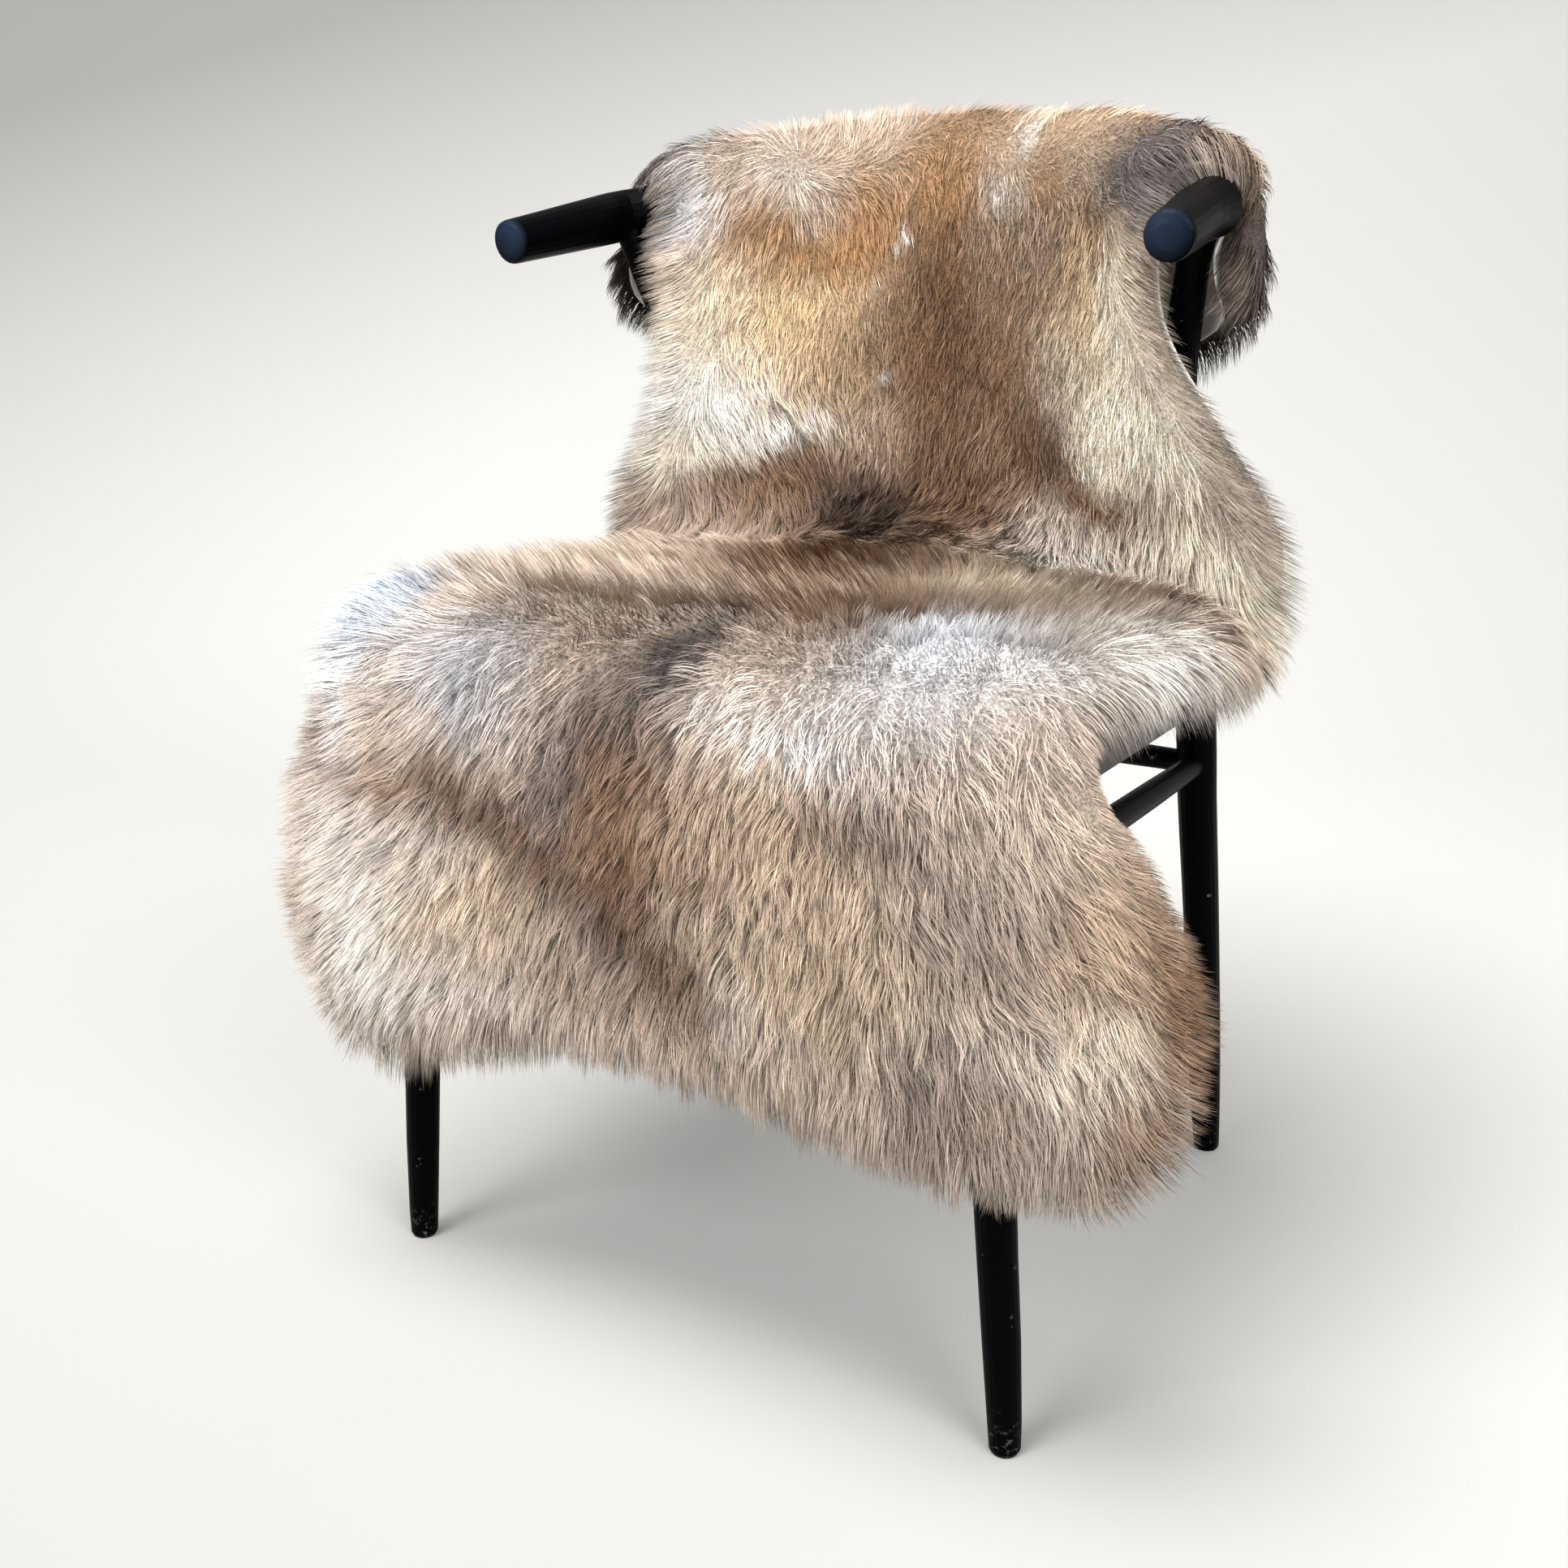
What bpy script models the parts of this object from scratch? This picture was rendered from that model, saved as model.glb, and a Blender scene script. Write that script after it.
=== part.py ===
"""A long-haired sheepskin draped over a round-legged black armchair.

The skin is one pelt. It hangs over the front of the seat, covers the seat, climbs the back
between the arm posts and folds over the bow, where its front legs hang down behind the horns.
Metres, +Z up, the sitter looks along -Y. Left and right are as seen from the front.
"""
import math
from collections import namedtuple

import bmesh
import bpy
import numpy as np

# The chair's driving sizes
SEAT_HEIGHT = 0.4506
PAD_THICKNESS = 0.040
BASE_THICKNESS = 0.030
STRETCHER_HEIGHT = 0.343
FIT_GAP = 0.0003
CUTTER_REACH = 0.004
BAR_SIDES = 20
BOW_SIDES = 24

# The origin stands under the middle of the whole, not midway between the feet
CENTRE_X = 0.0342
CENTRE_Y = -0.0033

# The bow's middle line is a parabola in plan, which the skin follows too
BOW_BACK_Y = 0.187
BOW_TOP_Z = 0.7415
BOW_HALF_WIDTH = 0.2225
BOW_DEPTH = 0.100
BOW_FALL = 0.0242

Point = namedtuple("Point", "x y z diameter")

# Right-hand members, from the floor up; the left ones are mirrored
FRONT_LEG = [
    Point(0.2346, -0.1820, 0.0000, 0.0160),
    Point(0.2346, -0.1820, 0.0030, 0.0195),
    Point(0.2338, -0.1820, 0.0200, 0.0210),
    Point(0.2256, -0.1820, 0.1300, 0.0246),
    Point(0.2160, -0.1810, 0.2600, 0.0280),
    Point(0.2090, -0.1800, 0.3550, 0.0300),
    Point(0.2052, -0.1795, 0.4090, 0.0300),
]
REAR_LEG = [
    Point(0.2111, 0.2441, 0.0000, 0.0160),
    Point(0.2111, 0.2441, 0.0030, 0.0195),
    Point(0.2113, 0.2390, 0.0200, 0.0210),
    Point(0.2130, 0.1814, 0.2380, 0.0262),
    Point(0.2131, 0.1590, 0.3200, 0.0275),
    Point(0.2100, 0.1545, 0.3800, 0.0280),
    Point(0.2005, 0.1500, 0.4600, 0.0268),
    Point(0.1945, 0.1395, 0.5350, 0.0255),
    Point(0.1950, 0.1215, 0.6000, 0.0238),
    Point(0.2045, 0.1020, 0.6500, 0.0222),
    Point(0.2158, 0.0850, 0.6970, 0.0205),
    Point(0.2215, 0.0800, 0.7160, 0.0200),
]
HORN = [
    Point(0.2285, 0.0440, 0.7103, 0.0345),
    Point(0.2345, 0.0050, 0.7036, 0.0320),
    Point(0.2386, -0.0255, 0.6985, 0.0302),
]
HORN_END = [
    Point(0.2389, -0.0285, 0.6980, 0.0290),
    Point(0.2391, -0.0302, 0.6977, 0.0255),
    Point(0.2393, -0.0315, 0.6975, 0.0150),
]
BOW_DIAMETER = 0.031
BOW_ROOT_DIAMETER = 0.036

# Where the stretchers' centre lines meet the legs
FRONT_JOINT = (0.2098, -0.1801)
REAR_JOINT = (0.2128, 0.1571)
JOINT_DIAMETER = 0.0155
MIDDLE_DIAMETER = 0.0190

# Corners of the seat in plan: front left, front right, rear right, rear left
BASE_OUTLINE = [(-0.215, -0.196), (0.215, -0.196), (0.211, 0.163), (-0.211, 0.163)]
PAD_OUTLINE = [(-0.215, -0.196), (0.215, -0.196), (0.178, 0.158), (-0.178, 0.158)]

# Rows of the skin from the hem, over the seat and the bow, to the neck.
# y and z place its middle line; left and right are its half widths.
# It bends down by bend_left and bend_right degrees past the seat's sides, and its corners
# hang lower by low_left and low_right. It comes forward by bow and down by fall at the bow's
# half width. pile is how far the hair stands off the skin, lock how far it passes the edge.
Row = namedtuple(
    "Row", "name y z left right bend_left bend_right low_left low_right pile bow fall lock"
)
SKIN_ROWS = [
    Row("hem", -0.222, 0.236, 0.240, 0.320, 10, 22, 0.048, 0.026, 0.026, 0, 0, 0.020),
    Row("lower flap", -0.224, 0.300, 0.265, 0.342, 10, 24, 0.030, -0.010, 0.032, 0, 0, 0.022),
    Row("upper flap", -0.222, 0.375, 0.248, 0.322, 12, 30, 0.010, -0.010, 0.034, 0, 0, 0.022),
    Row("under edge", -0.218, 0.422, 0.232, 0.286, 20, 40, 0, 0, 0.034, 0, 0, 0.018),
    Row("edge", -0.208, 0.447, 0.233, 0.275, 30, 48, 0, 0, 0.034, 0, 0, 0.016),
    Row("over edge", -0.187, 0.459, 0.236, 0.268, 40, 55, 0, 0, 0.034, 0, 0, 0.016),
    Row("seat front", -0.125, 0.4600, 0.255, 0.264, 60, 65, 0, 0, 0.034, 0, 0, 0.018),
    Row("seat middle", -0.030, 0.4528, 0.262, 0.268, 60, 65, 0, 0, 0.033, 0, 0, 0.018),
    Row("seat rear", 0.060, 0.4530, 0.262, 0.280, 55, 55, 0, 0, 0.031, 0.006, 0, 0.018),
    Row("crease", 0.130, 0.4690, 0.258, 0.290, 35, 40, 0, 0, 0.027, 0.026, 0, 0.018),
    Row("low back", 0.160, 0.515, 0.238, 0.276, 25, 35, 0, 0, 0.026, 0.062, 0, 0.016),
    Row("waist", 0.166, 0.585, 0.208, 0.222, 10, 15, 0, 0, 0.026, 0.085, 0, 0.014),
    Row("upper back", 0.165, 0.655, 0.200, 0.206, 0, 0, 0, 0, 0.026, 0.098, 0.003, 0.010),
    Row("under bow", 0.163, 0.705, 0.204, 0.208, 0, 0, 0, 0, 0.026, 0.100, 0.010, 0.006),
    Row("bow front", 0.1650, 0.7400, 0.203, 0.207, 0, 0, 0, 0, 0.027, 0.100, 0.022, 0.005),
    Row("front shoulder", 0.1712, 0.7573, 0.205, 0.212, 0, 0, 0, 0, 0.028, 0.100, 0.023, 0.007),
    Row("crest", 0.1870, 0.7640, 0.208, 0.222, 0, 0, 0, 0, 0.028, 0.100, 0.024, 0.010),
    Row("back shoulder", 0.2025, 0.7573, 0.209, 0.223, 0, 0, 0, 0, 0.030, 0.100, 0.024, 0.012),
    Row("bow back", 0.2090, 0.7400, 0.210, 0.223, 0, 0, 0, 0, 0.032, 0.100, 0.022, 0.014),
    Row("back flap", 0.2110, 0.695, 0.215, 0.221, 0, 0, 0, 0, 0.034, 0.100, 0.010, 0.018),
    Row("front legs", 0.2100, 0.650, 0.214, 0.216, 0, 0, 0, 0, 0.034, 0.100, 0, 0.020),
    Row("neck", 0.2080, 0.605, 0.165, 0.190, 0, 0, 0, 0, 0.028, 0.095, 0, 0.020),
]
SKIN_ACROSS = 25
SKIN_STEP = 0.018
SIDE_BEND_START = 0.222
SIDE_BEND_RADIUS = 0.045
CORNER_REACH = 0.25
CORNER_RADIUS = 0.050
EDGE_PILE = 0.55
TIP_PILE = 0.30
SHORT_LOCK = 0.45
LUMP_HEIGHT = 0.0035
LUMP_WAVES = [(41.0, 23.0, 0.4), (-29.0, 47.0, 1.9), (67.0, 61.0, 3.1)]


def clear_scene():
    for old in list(bpy.data.objects):
        bpy.data.objects.remove(old, do_unlink=True)


def new_collection(name):
    collection = bpy.data.collections.new(name)
    bpy.context.scene.collection.children.link(collection)
    return collection


def plain_material(name, colour, roughness):
    material = bpy.data.materials.new(name)
    material.use_nodes = True
    surface = material.node_tree.nodes["Principled BSDF"]
    surface.inputs["Base Color"].default_value = (*colour, 1.0)
    surface.inputs["Roughness"].default_value = roughness
    surface.inputs["Metallic"].default_value = 0.0
    return material


def spline_through(places, values, wanted):
    """The smooth curve through rows of values, read at the wanted places."""
    steps = np.diff(places)
    rises = np.diff(values, axis=0) / steps[:, None]
    slopes = np.zeros_like(values)
    weights = (steps[:-1] + steps[1:])[:, None]
    slopes[1:-1] = (steps[:-1, None] * rises[1:] + steps[1:, None] * rises[:-1]) / weights
    slopes[0] = rises[0]
    slopes[-1] = rises[-1]
    span = np.clip(np.searchsorted(places, wanted) - 1, 0, len(places) - 2)
    step = steps[span][:, None]
    t = (wanted - places[span])[:, None] / step
    start = (2 * t**3 - 3 * t**2 + 1) * values[span] + (t**3 - 2 * t**2 + t) * step * slopes[span]
    end = (3 * t**2 - 2 * t**3) * values[span + 1] + (t**3 - t**2) * step * slopes[span + 1]
    return start + end


def path_lengths(points):
    steps = np.linalg.norm(np.diff(points, axis=0), axis=1)
    return np.concatenate([[0.0], np.cumsum(steps)])


def smooth_points(points, spacing, plain_start=0):
    """Points read from a smooth curve; the first plain_start ones stay as they are."""
    table = np.array(points, float)
    lengths = path_lengths(table[:, :3])
    first = lengths[plain_start]
    count = max(int((lengths[-1] - first) / spacing), 2)
    wanted = np.linspace(first, lengths[-1], count + 1)
    return np.vstack([table[:plain_start], spline_through(lengths, table, wanted)])


def mirrored(points):
    return [Point(-p.x, p.y, p.z, p.diameter) for p in points]


def round_bar(name, points, sides, extra=0.0):
    """A closed round bar along the points, as a mesh object; extra widens it all round."""
    curve = bpy.data.curves.new(name, "CURVE")
    curve.dimensions = "3D"
    curve.bevel_depth = 1.0
    curve.bevel_resolution = sides // 2 - 2
    curve.use_fill_caps = True
    line = curve.splines.new("POLY")
    line.points.add(len(points) - 1)
    for knot, (x, y, z, diameter) in zip(line.points, points):
        knot.co = (x, y, z, 1.0)
        knot.radius = diameter / 2 + extra
    holder = bpy.data.objects.new(name, curve)
    bpy.context.scene.collection.objects.link(holder)
    bpy.context.view_layer.update()
    evaluated = holder.evaluated_get(bpy.context.evaluated_depsgraph_get())
    mesh = bpy.data.meshes.new_from_object(evaluated)
    bpy.data.objects.remove(holder, do_unlink=True)
    bpy.data.curves.remove(curve)
    form = bmesh.new()
    form.from_mesh(mesh)
    bmesh.ops.remove_doubles(form, verts=form.verts, dist=0.00001)
    bmesh.ops.recalc_face_normals(form, faces=form.faces)
    form.to_mesh(mesh)
    form.free()
    mesh.name = name
    return bpy.data.objects.new(name, mesh)


def finish_part(obj, collection, root, material):
    collection.objects.link(obj)
    obj.parent = root
    obj.data.materials.clear()
    obj.data.materials.append(material)
    obj.data.shade_smooth()
    obj.data.set_sharp_from_angle(angle=math.radians(40))
    return obj


def cutter_for(bar_name, points, sides, collection, root):
    """A hidden copy of a bar, wider by the fitting gap and longer, that cuts its neighbours."""
    last = np.array(points[-1])
    step = last - np.array(points[-2])
    beyond = last + step * (CUTTER_REACH / np.linalg.norm(step[:3]))
    cutter = round_bar("cutter_" + bar_name, [*points, beyond], sides, extra=FIT_GAP)
    collection.objects.link(cutter)
    cutter.parent = root
    cutter.hide_render = True
    cutter.display_type = "WIRE"
    return cutter


def cut(obj, cutters):
    for cutter in cutters:
        boolean = obj.modifiers.new("fit " + cutter.name, "BOOLEAN")
        boolean.operation = "DIFFERENCE"
        boolean.solver = "EXACT"
        boolean.object = cutter


def stretcher_run(start, end):
    """A level bar between two joints, a little thicker in the middle."""
    run = []
    for t in np.linspace(0.0, 1.0, 5):
        x = start[0] + (end[0] - start[0]) * t
        y = start[1] + (end[1] - start[1]) * t
        swell = (MIDDLE_DIAMETER - JOINT_DIAMETER) * math.sin(math.pi * t)
        run.append(Point(x, y, STRETCHER_HEIGHT, JOINT_DIAMETER + swell))
    return run


def bow_line(x):
    """The bow's centre over x, in plan and height."""
    share = (x / BOW_HALF_WIDTH) ** 2
    return BOW_BACK_Y - BOW_DEPTH * share, BOW_TOP_Z - BOW_FALL * share


def bow_points():
    """The whole rail from one horn's end, round the back, to the other."""
    steps = 9
    middle = []
    for i in range(-steps, steps + 1):
        x = BOW_HALF_WIDTH * math.sin(math.radians(90 * i / steps))
        y, z = bow_line(x)
        share = (x / BOW_HALF_WIDTH) ** 4
        middle.append(Point(x, y, z, BOW_DIAMETER + (BOW_ROOT_DIAMETER - BOW_DIAMETER) * share))
    left_end = mirrored(HORN_END)[::-1]
    left = mirrored(HORN)[::-1]
    smooth = smooth_points(left + middle + HORN, 0.016)
    return [*left_end, *smooth, *HORN_END]


def rounded_plate(name, outline, bottom, thickness, corner):
    """A flat plate with round corners."""
    curve = bpy.data.curves.new(name, "CURVE")
    curve.dimensions = "2D"
    curve.fill_mode = "BOTH"
    curve.extrude = thickness / 2
    line = curve.splines.new("POLY")
    points = round_corners(outline, corner)
    line.points.add(len(points) - 1)
    line.use_cyclic_u = True
    for knot, (x, y) in zip(line.points, points):
        knot.co = (x, y, 0.0, 1.0)
    holder = bpy.data.objects.new(name, curve)
    bpy.context.scene.collection.objects.link(holder)
    bpy.context.view_layer.update()
    evaluated = holder.evaluated_get(bpy.context.evaluated_depsgraph_get())
    mesh = bpy.data.meshes.new_from_object(evaluated)
    bpy.data.objects.remove(holder, do_unlink=True)
    bpy.data.curves.remove(curve)
    form = bmesh.new()
    form.from_mesh(mesh)
    bmesh.ops.remove_doubles(form, verts=form.verts, dist=0.00001)
    bmesh.ops.translate(form, verts=form.verts, vec=(0.0, 0.0, bottom + thickness / 2))
    bmesh.ops.recalc_face_normals(form, faces=form.faces)
    form.to_mesh(mesh)
    form.free()
    mesh.name = name
    return bpy.data.objects.new(name, mesh)


def round_corners(ring, radius, steps=4):
    """An outline whose corners are arcs that start and end one radius from each corner."""
    points = []
    count = len(ring)
    for i in range(count):
        here = np.array(ring[i])
        before = np.array(ring[i - 1]) - here
        after = np.array(ring[(i + 1) % count]) - here
        start = here + before / np.linalg.norm(before) * radius
        end = here + after / np.linalg.norm(after) * radius
        for k in range(steps + 1):
            t = k / steps
            points.append((1 - t) ** 2 * start + 2 * t * (1 - t) * here + t**2 * end)
    return points


def steps_between(start, end):
    count = max(round((end - start) / SKIN_STEP), 1)
    return np.linspace(start, end, count, endpoint=False)


def skin_grid():
    """The skin's flesh side as a grid of points, with the pile and lock length of each row."""
    table = np.array([row[1:] for row in SKIN_ROWS], float)
    lengths = path_lengths(table[:, :2])
    along = np.concatenate([steps_between(a, b) for a, b in zip(lengths, lengths[1:])])
    along = np.append(along, lengths[-1])
    rows = spline_through(lengths, table, along)
    course = np.gradient(rows[:, :2], along, axis=0)
    course /= np.linalg.norm(course, axis=1)[:, None]
    side = np.linspace(-1.0, 1.0, SKIN_ACROSS)
    grid = np.zeros((len(along), SKIN_ACROSS, 3))
    for i, row in enumerate(rows):
        y, z, left, right, bend_left, bend_right, low_left, low_right, _, bow, fall, _ = row
        to_end = min(along[i], along[-1] - along[i])
        inside = max(CORNER_RADIUS - to_end, 0.0)
        trim = CORNER_RADIUS - math.sqrt(CORNER_RADIUS**2 - inside**2)
        across = np.where(side < 0, side * (left - trim), side * (right - trim))
        reach = np.abs(across)
        most = np.radians(np.maximum(np.where(across < 0, bend_left, bend_right), 0.0))
        past = np.maximum(reach - SIDE_BEND_START, 0.0)
        angle = np.minimum(past / SIDE_BEND_RADIUS, most)
        straight = past - angle * SIDE_BEND_RADIUS
        out = np.minimum(reach, SIDE_BEND_START)
        out = out + SIDE_BEND_RADIUS * np.sin(angle) + straight * np.cos(angle)
        drop = SIDE_BEND_RADIUS * (1 - np.cos(angle)) + straight * np.sin(angle)
        low = np.where(across < 0, low_left, low_right)
        low = low * (1 - np.cos(math.pi * np.clip(reach / CORNER_REACH, 0, 1))) / 2
        x = np.sign(across) * out
        share = (x / BOW_HALF_WIDTH) ** 2
        slope = 2 * bow * x / BOW_HALF_WIDTH**2
        facing = np.hypot(slope, 1.0)
        ahead, up = course[i]
        offset = y - BOW_BACK_Y + drop * up
        grid[i, :, 0] = x + offset * slope / facing
        grid[i, :, 1] = BOW_BACK_Y - bow * share + offset / facing - low * ahead
        grid[i, :, 2] = z - fall * share - drop * ahead - low * up
    return grid, rows[:, 8], rows[:, 11], along


def grid_normals(grid):
    across = np.gradient(grid, axis=1)
    along = np.gradient(grid, axis=0)
    normals = np.cross(across, along)
    return normals / np.linalg.norm(normals, axis=2, keepdims=True)


def lumps(grid, along):
    """Soft unevenness of the hair, a few slanting waves added together."""
    height = np.zeros(grid.shape[:2])
    x = grid[:, :, 0]
    s = along[:, None]
    for wave_x, wave_s, phase in LUMP_WAVES:
        height += np.sin(wave_x * x + wave_s * s + phase)
    return LUMP_HEIGHT * height / len(LUMP_WAVES)


def rim_of(grid_shape):
    """Row and column of each point round the grid's edge, in order."""
    last_row, last_column = grid_shape[0] - 1, grid_shape[1] - 1
    rim = [(0, j) for j in range(last_column)]
    rim += [(i, last_column) for i in range(last_row)]
    rim += [(last_row, j) for j in range(last_column, 0, -1)]
    rim += [(i, 0) for i in range(last_row, 0, -1)]
    return rim


def way_out(grid, i, j):
    """The unit direction in which the skin's edge looks at a rim point."""
    last_row, last_column = grid.shape[0] - 1, grid.shape[1] - 1
    way = np.zeros(3)
    if i in (0, last_row):
        inner = 1 if i == 0 else last_row - 1
        step = grid[i, j] - grid[inner, j]
        way += step / np.linalg.norm(step)
    if j in (0, last_column):
        inner = 1 if j == 0 else last_column - 1
        step = grid[i, j] - grid[i, inner]
        way += step / np.linalg.norm(step)
    return way / np.linalg.norm(way)


def sheepskin_mesh():
    """One lumpy slab: the flesh side, the top of the hair, and pointed locks round the rim."""
    grid, pile, lock, along = skin_grid()
    normals = grid_normals(grid)
    thickness = pile[:, None] + lumps(grid, along)
    rim = rim_of(grid.shape)
    for i, j in rim:
        thickness[i, j] *= EDGE_PILE
    top = grid + normals * thickness[:, :, None]
    form = bmesh.new()
    flesh = [[form.verts.new(p) for p in row] for row in grid]
    hair = [[form.verts.new(p) for p in row] for row in top]
    for i in range(len(along) - 1):
        for j in range(SKIN_ACROSS - 1):
            form.faces.new((hair[i][j], hair[i][j + 1], hair[i + 1][j + 1], hair[i + 1][j]))
            form.faces.new((flesh[i][j], flesh[i + 1][j], flesh[i + 1][j + 1], flesh[i][j + 1]))
    tips = []
    for count, (i, j) in enumerate(rim):
        length = lock[i] * (1.0 if count % 2 else SHORT_LOCK)
        tip = grid[i, j] + way_out(grid, i, j) * length + normals[i, j] * pile[i] * TIP_PILE
        tips.append(form.verts.new(tip))
    for count, (i, j) in enumerate(rim):
        after = (count + 1) % len(rim)
        k, m = rim[after]
        form.faces.new((flesh[i][j], flesh[k][m], tips[after], tips[count]))
        form.faces.new((tips[count], tips[after], hair[k][m], hair[i][j]))
    bmesh.ops.triangulate(form, faces=form.faces)
    bmesh.ops.recalc_face_normals(form, faces=form.faces)
    mesh = bpy.data.meshes.new("sheepskin")
    form.to_mesh(mesh)
    form.free()
    return mesh


def build():
    clear_scene()
    parts = new_collection("sheepskin_armchair")
    cutters = new_collection("cutters")
    root = bpy.data.objects.new("root", None)
    root.location = (-CENTRE_X, -CENTRE_Y, 0.0)
    parts.objects.link(root)
    lacquer = plain_material("black_lacquer", (0.012, 0.012, 0.014), 0.38)
    cover = plain_material("black_seat_leather", (0.014, 0.013, 0.013), 0.55)
    hair = plain_material("sheepskin_hair", (0.50, 0.37, 0.26), 0.95)

    bow = bow_points()
    bow_cutter = cutter_for("bow", bow, BOW_SIDES, cutters, root)
    finish_part(round_bar("back_bow", bow, BOW_SIDES), parts, root, lacquer)

    front_cutters = []
    rear_cutters = []
    for side, turn in (("left", mirrored), ("right", list)):
        front = smooth_points(turn(FRONT_LEG), 0.050, plain_start=2)
        rear = smooth_points(turn(REAR_LEG), 0.034, plain_start=2)
        front_leg = round_bar("front_leg_" + side, front, BAR_SIDES)
        rear_leg = round_bar("rear_leg_" + side, rear, BAR_SIDES)
        finish_part(front_leg, parts, root, lacquer)
        finish_part(rear_leg, parts, root, lacquer)
        cut(rear_leg, [bow_cutter])
        front_cutters.append(cutter_for("front_leg_" + side, front, BAR_SIDES, cutters, root))
        rear_cutters.append(cutter_for("rear_leg_" + side, rear, BAR_SIDES, cutters, root))

    for number, (side, turn) in enumerate((("left", mirrored), ("right", list))):
        run = turn(stretcher_run(FRONT_JOINT, REAR_JOINT))
        stretcher = round_bar("side_stretcher_" + side, run, BAR_SIDES)
        finish_part(stretcher, parts, root, lacquer)
        cut(stretcher, [front_cutters[number], rear_cutters[number]])
    left_joint = (-REAR_JOINT[0], REAR_JOINT[1])
    stretcher = round_bar("rear_stretcher", stretcher_run(left_joint, REAR_JOINT), BAR_SIDES)
    finish_part(stretcher, parts, root, lacquer)
    cut(stretcher, rear_cutters)

    pad_bottom = SEAT_HEIGHT - PAD_THICKNESS
    base_bottom = pad_bottom - FIT_GAP - BASE_THICKNESS
    base = rounded_plate("seat_base", BASE_OUTLINE, base_bottom, BASE_THICKNESS, 0.012)
    finish_part(base, parts, root, lacquer)
    cut(base, front_cutters + rear_cutters)

    pad = rounded_plate("seat_pad", PAD_OUTLINE, pad_bottom, PAD_THICKNESS, 0.030)
    finish_part(pad, parts, root, cover)
    round_edge = pad.modifiers.new("round edge", "BEVEL")
    round_edge.width = 0.009
    round_edge.segments = 3
    round_edge.limit_method = "ANGLE"
    round_edge.angle_limit = math.radians(60)

    skin = bpy.data.objects.new("sheepskin", sheepskin_mesh())
    finish_part(skin, parts, root, hair)


build()
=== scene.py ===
"""A long-haired sheepskin draped over a round-legged black armchair, dressed for its picture.

Metres, +Z up, the sitter looks along -Y. Left and right are as seen from the front. The skin
lies on the rows that its solid is made from, with its half widths fitted to its outline.
"""
import math
from collections import namedtuple

import bpy
import numpy as np
from mathutils import Matrix, Vector


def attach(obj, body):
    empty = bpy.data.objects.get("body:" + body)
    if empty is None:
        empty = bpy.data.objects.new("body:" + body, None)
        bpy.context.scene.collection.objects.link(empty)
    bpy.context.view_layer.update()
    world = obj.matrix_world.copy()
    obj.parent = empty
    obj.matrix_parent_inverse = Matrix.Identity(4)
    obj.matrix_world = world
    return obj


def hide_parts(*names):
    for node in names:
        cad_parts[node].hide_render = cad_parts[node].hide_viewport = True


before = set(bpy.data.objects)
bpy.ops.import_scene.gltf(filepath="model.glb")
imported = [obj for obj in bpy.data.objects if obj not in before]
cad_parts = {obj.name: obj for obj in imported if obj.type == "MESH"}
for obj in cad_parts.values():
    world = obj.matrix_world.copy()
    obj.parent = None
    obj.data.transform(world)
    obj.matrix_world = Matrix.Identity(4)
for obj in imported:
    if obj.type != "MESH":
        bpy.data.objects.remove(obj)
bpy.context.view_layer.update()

# Camera. It stands a little to the right of the chair, above the bow, and looks down at the
# seat, as the picture does. The picture is 1932 pixels square.
PICTURE_PIXELS = 1932
FOCAL_PIXELS = 2172.7
SENSOR_MM = 36.0
CAMERA_PLACE = Vector((0.5697, -1.0088, 0.6914))
CAMERA_YAW = 0.5625
CAMERA_PITCH = 0.2937
CAMERA_ROLL = 0.0059

def in_scene(name, data):
    """A new object of the scene that holds the given data."""
    made = bpy.data.objects.new(name, data)
    bpy.context.scene.collection.objects.link(made)
    return made


camera_data = bpy.data.cameras.new("picture_camera")
camera_data.sensor_width = SENSOR_MM
camera_data.lens = FOCAL_PIXELS / PICTURE_PIXELS * SENSOR_MM
camera_data.clip_start = 0.01
camera = in_scene("picture_camera", camera_data)
forward = Vector((
    -math.sin(CAMERA_YAW) * math.cos(CAMERA_PITCH),
    math.cos(CAMERA_YAW) * math.cos(CAMERA_PITCH),
    -math.sin(CAMERA_PITCH),
))
level = Vector((math.cos(CAMERA_YAW), math.sin(CAMERA_YAW), 0.0))
sink = forward.cross(level)
to_right = level * math.cos(CAMERA_ROLL) + sink * math.sin(CAMERA_ROLL)
to_top = -(sink * math.cos(CAMERA_ROLL) - level * math.sin(CAMERA_ROLL))
turned = Matrix((to_right, to_top, -forward)).transposed()
camera.matrix_world = Matrix.Translation(CAMERA_PLACE) @ turned.to_4x4()
bpy.context.scene.camera = camera


# Studio. A seamless pale sweep, made as one swept sheet that curves up behind the chair, lit
# by a wide soft window on the left, a broad lamp overhead and a weak one from the right.
SWEEP_HALF_WIDTH = 6.0
SWEEP_FRONT = -4.0
SWEEP_BACK = 4.2
SWEEP_RADIUS = 3.0
SWEEP_TOP = 4.5
SWEEP_STEPS = 16
FLOOR_COLOUR = (0.385, 0.379, 0.364)
FLOOR_NEAR_PAINTED_LIGHT = 0.67
FLOOR_FAR_PAINTED_LIGHT = 1.20
FLOOR_CLOUD_GAIN = 1.04
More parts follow.
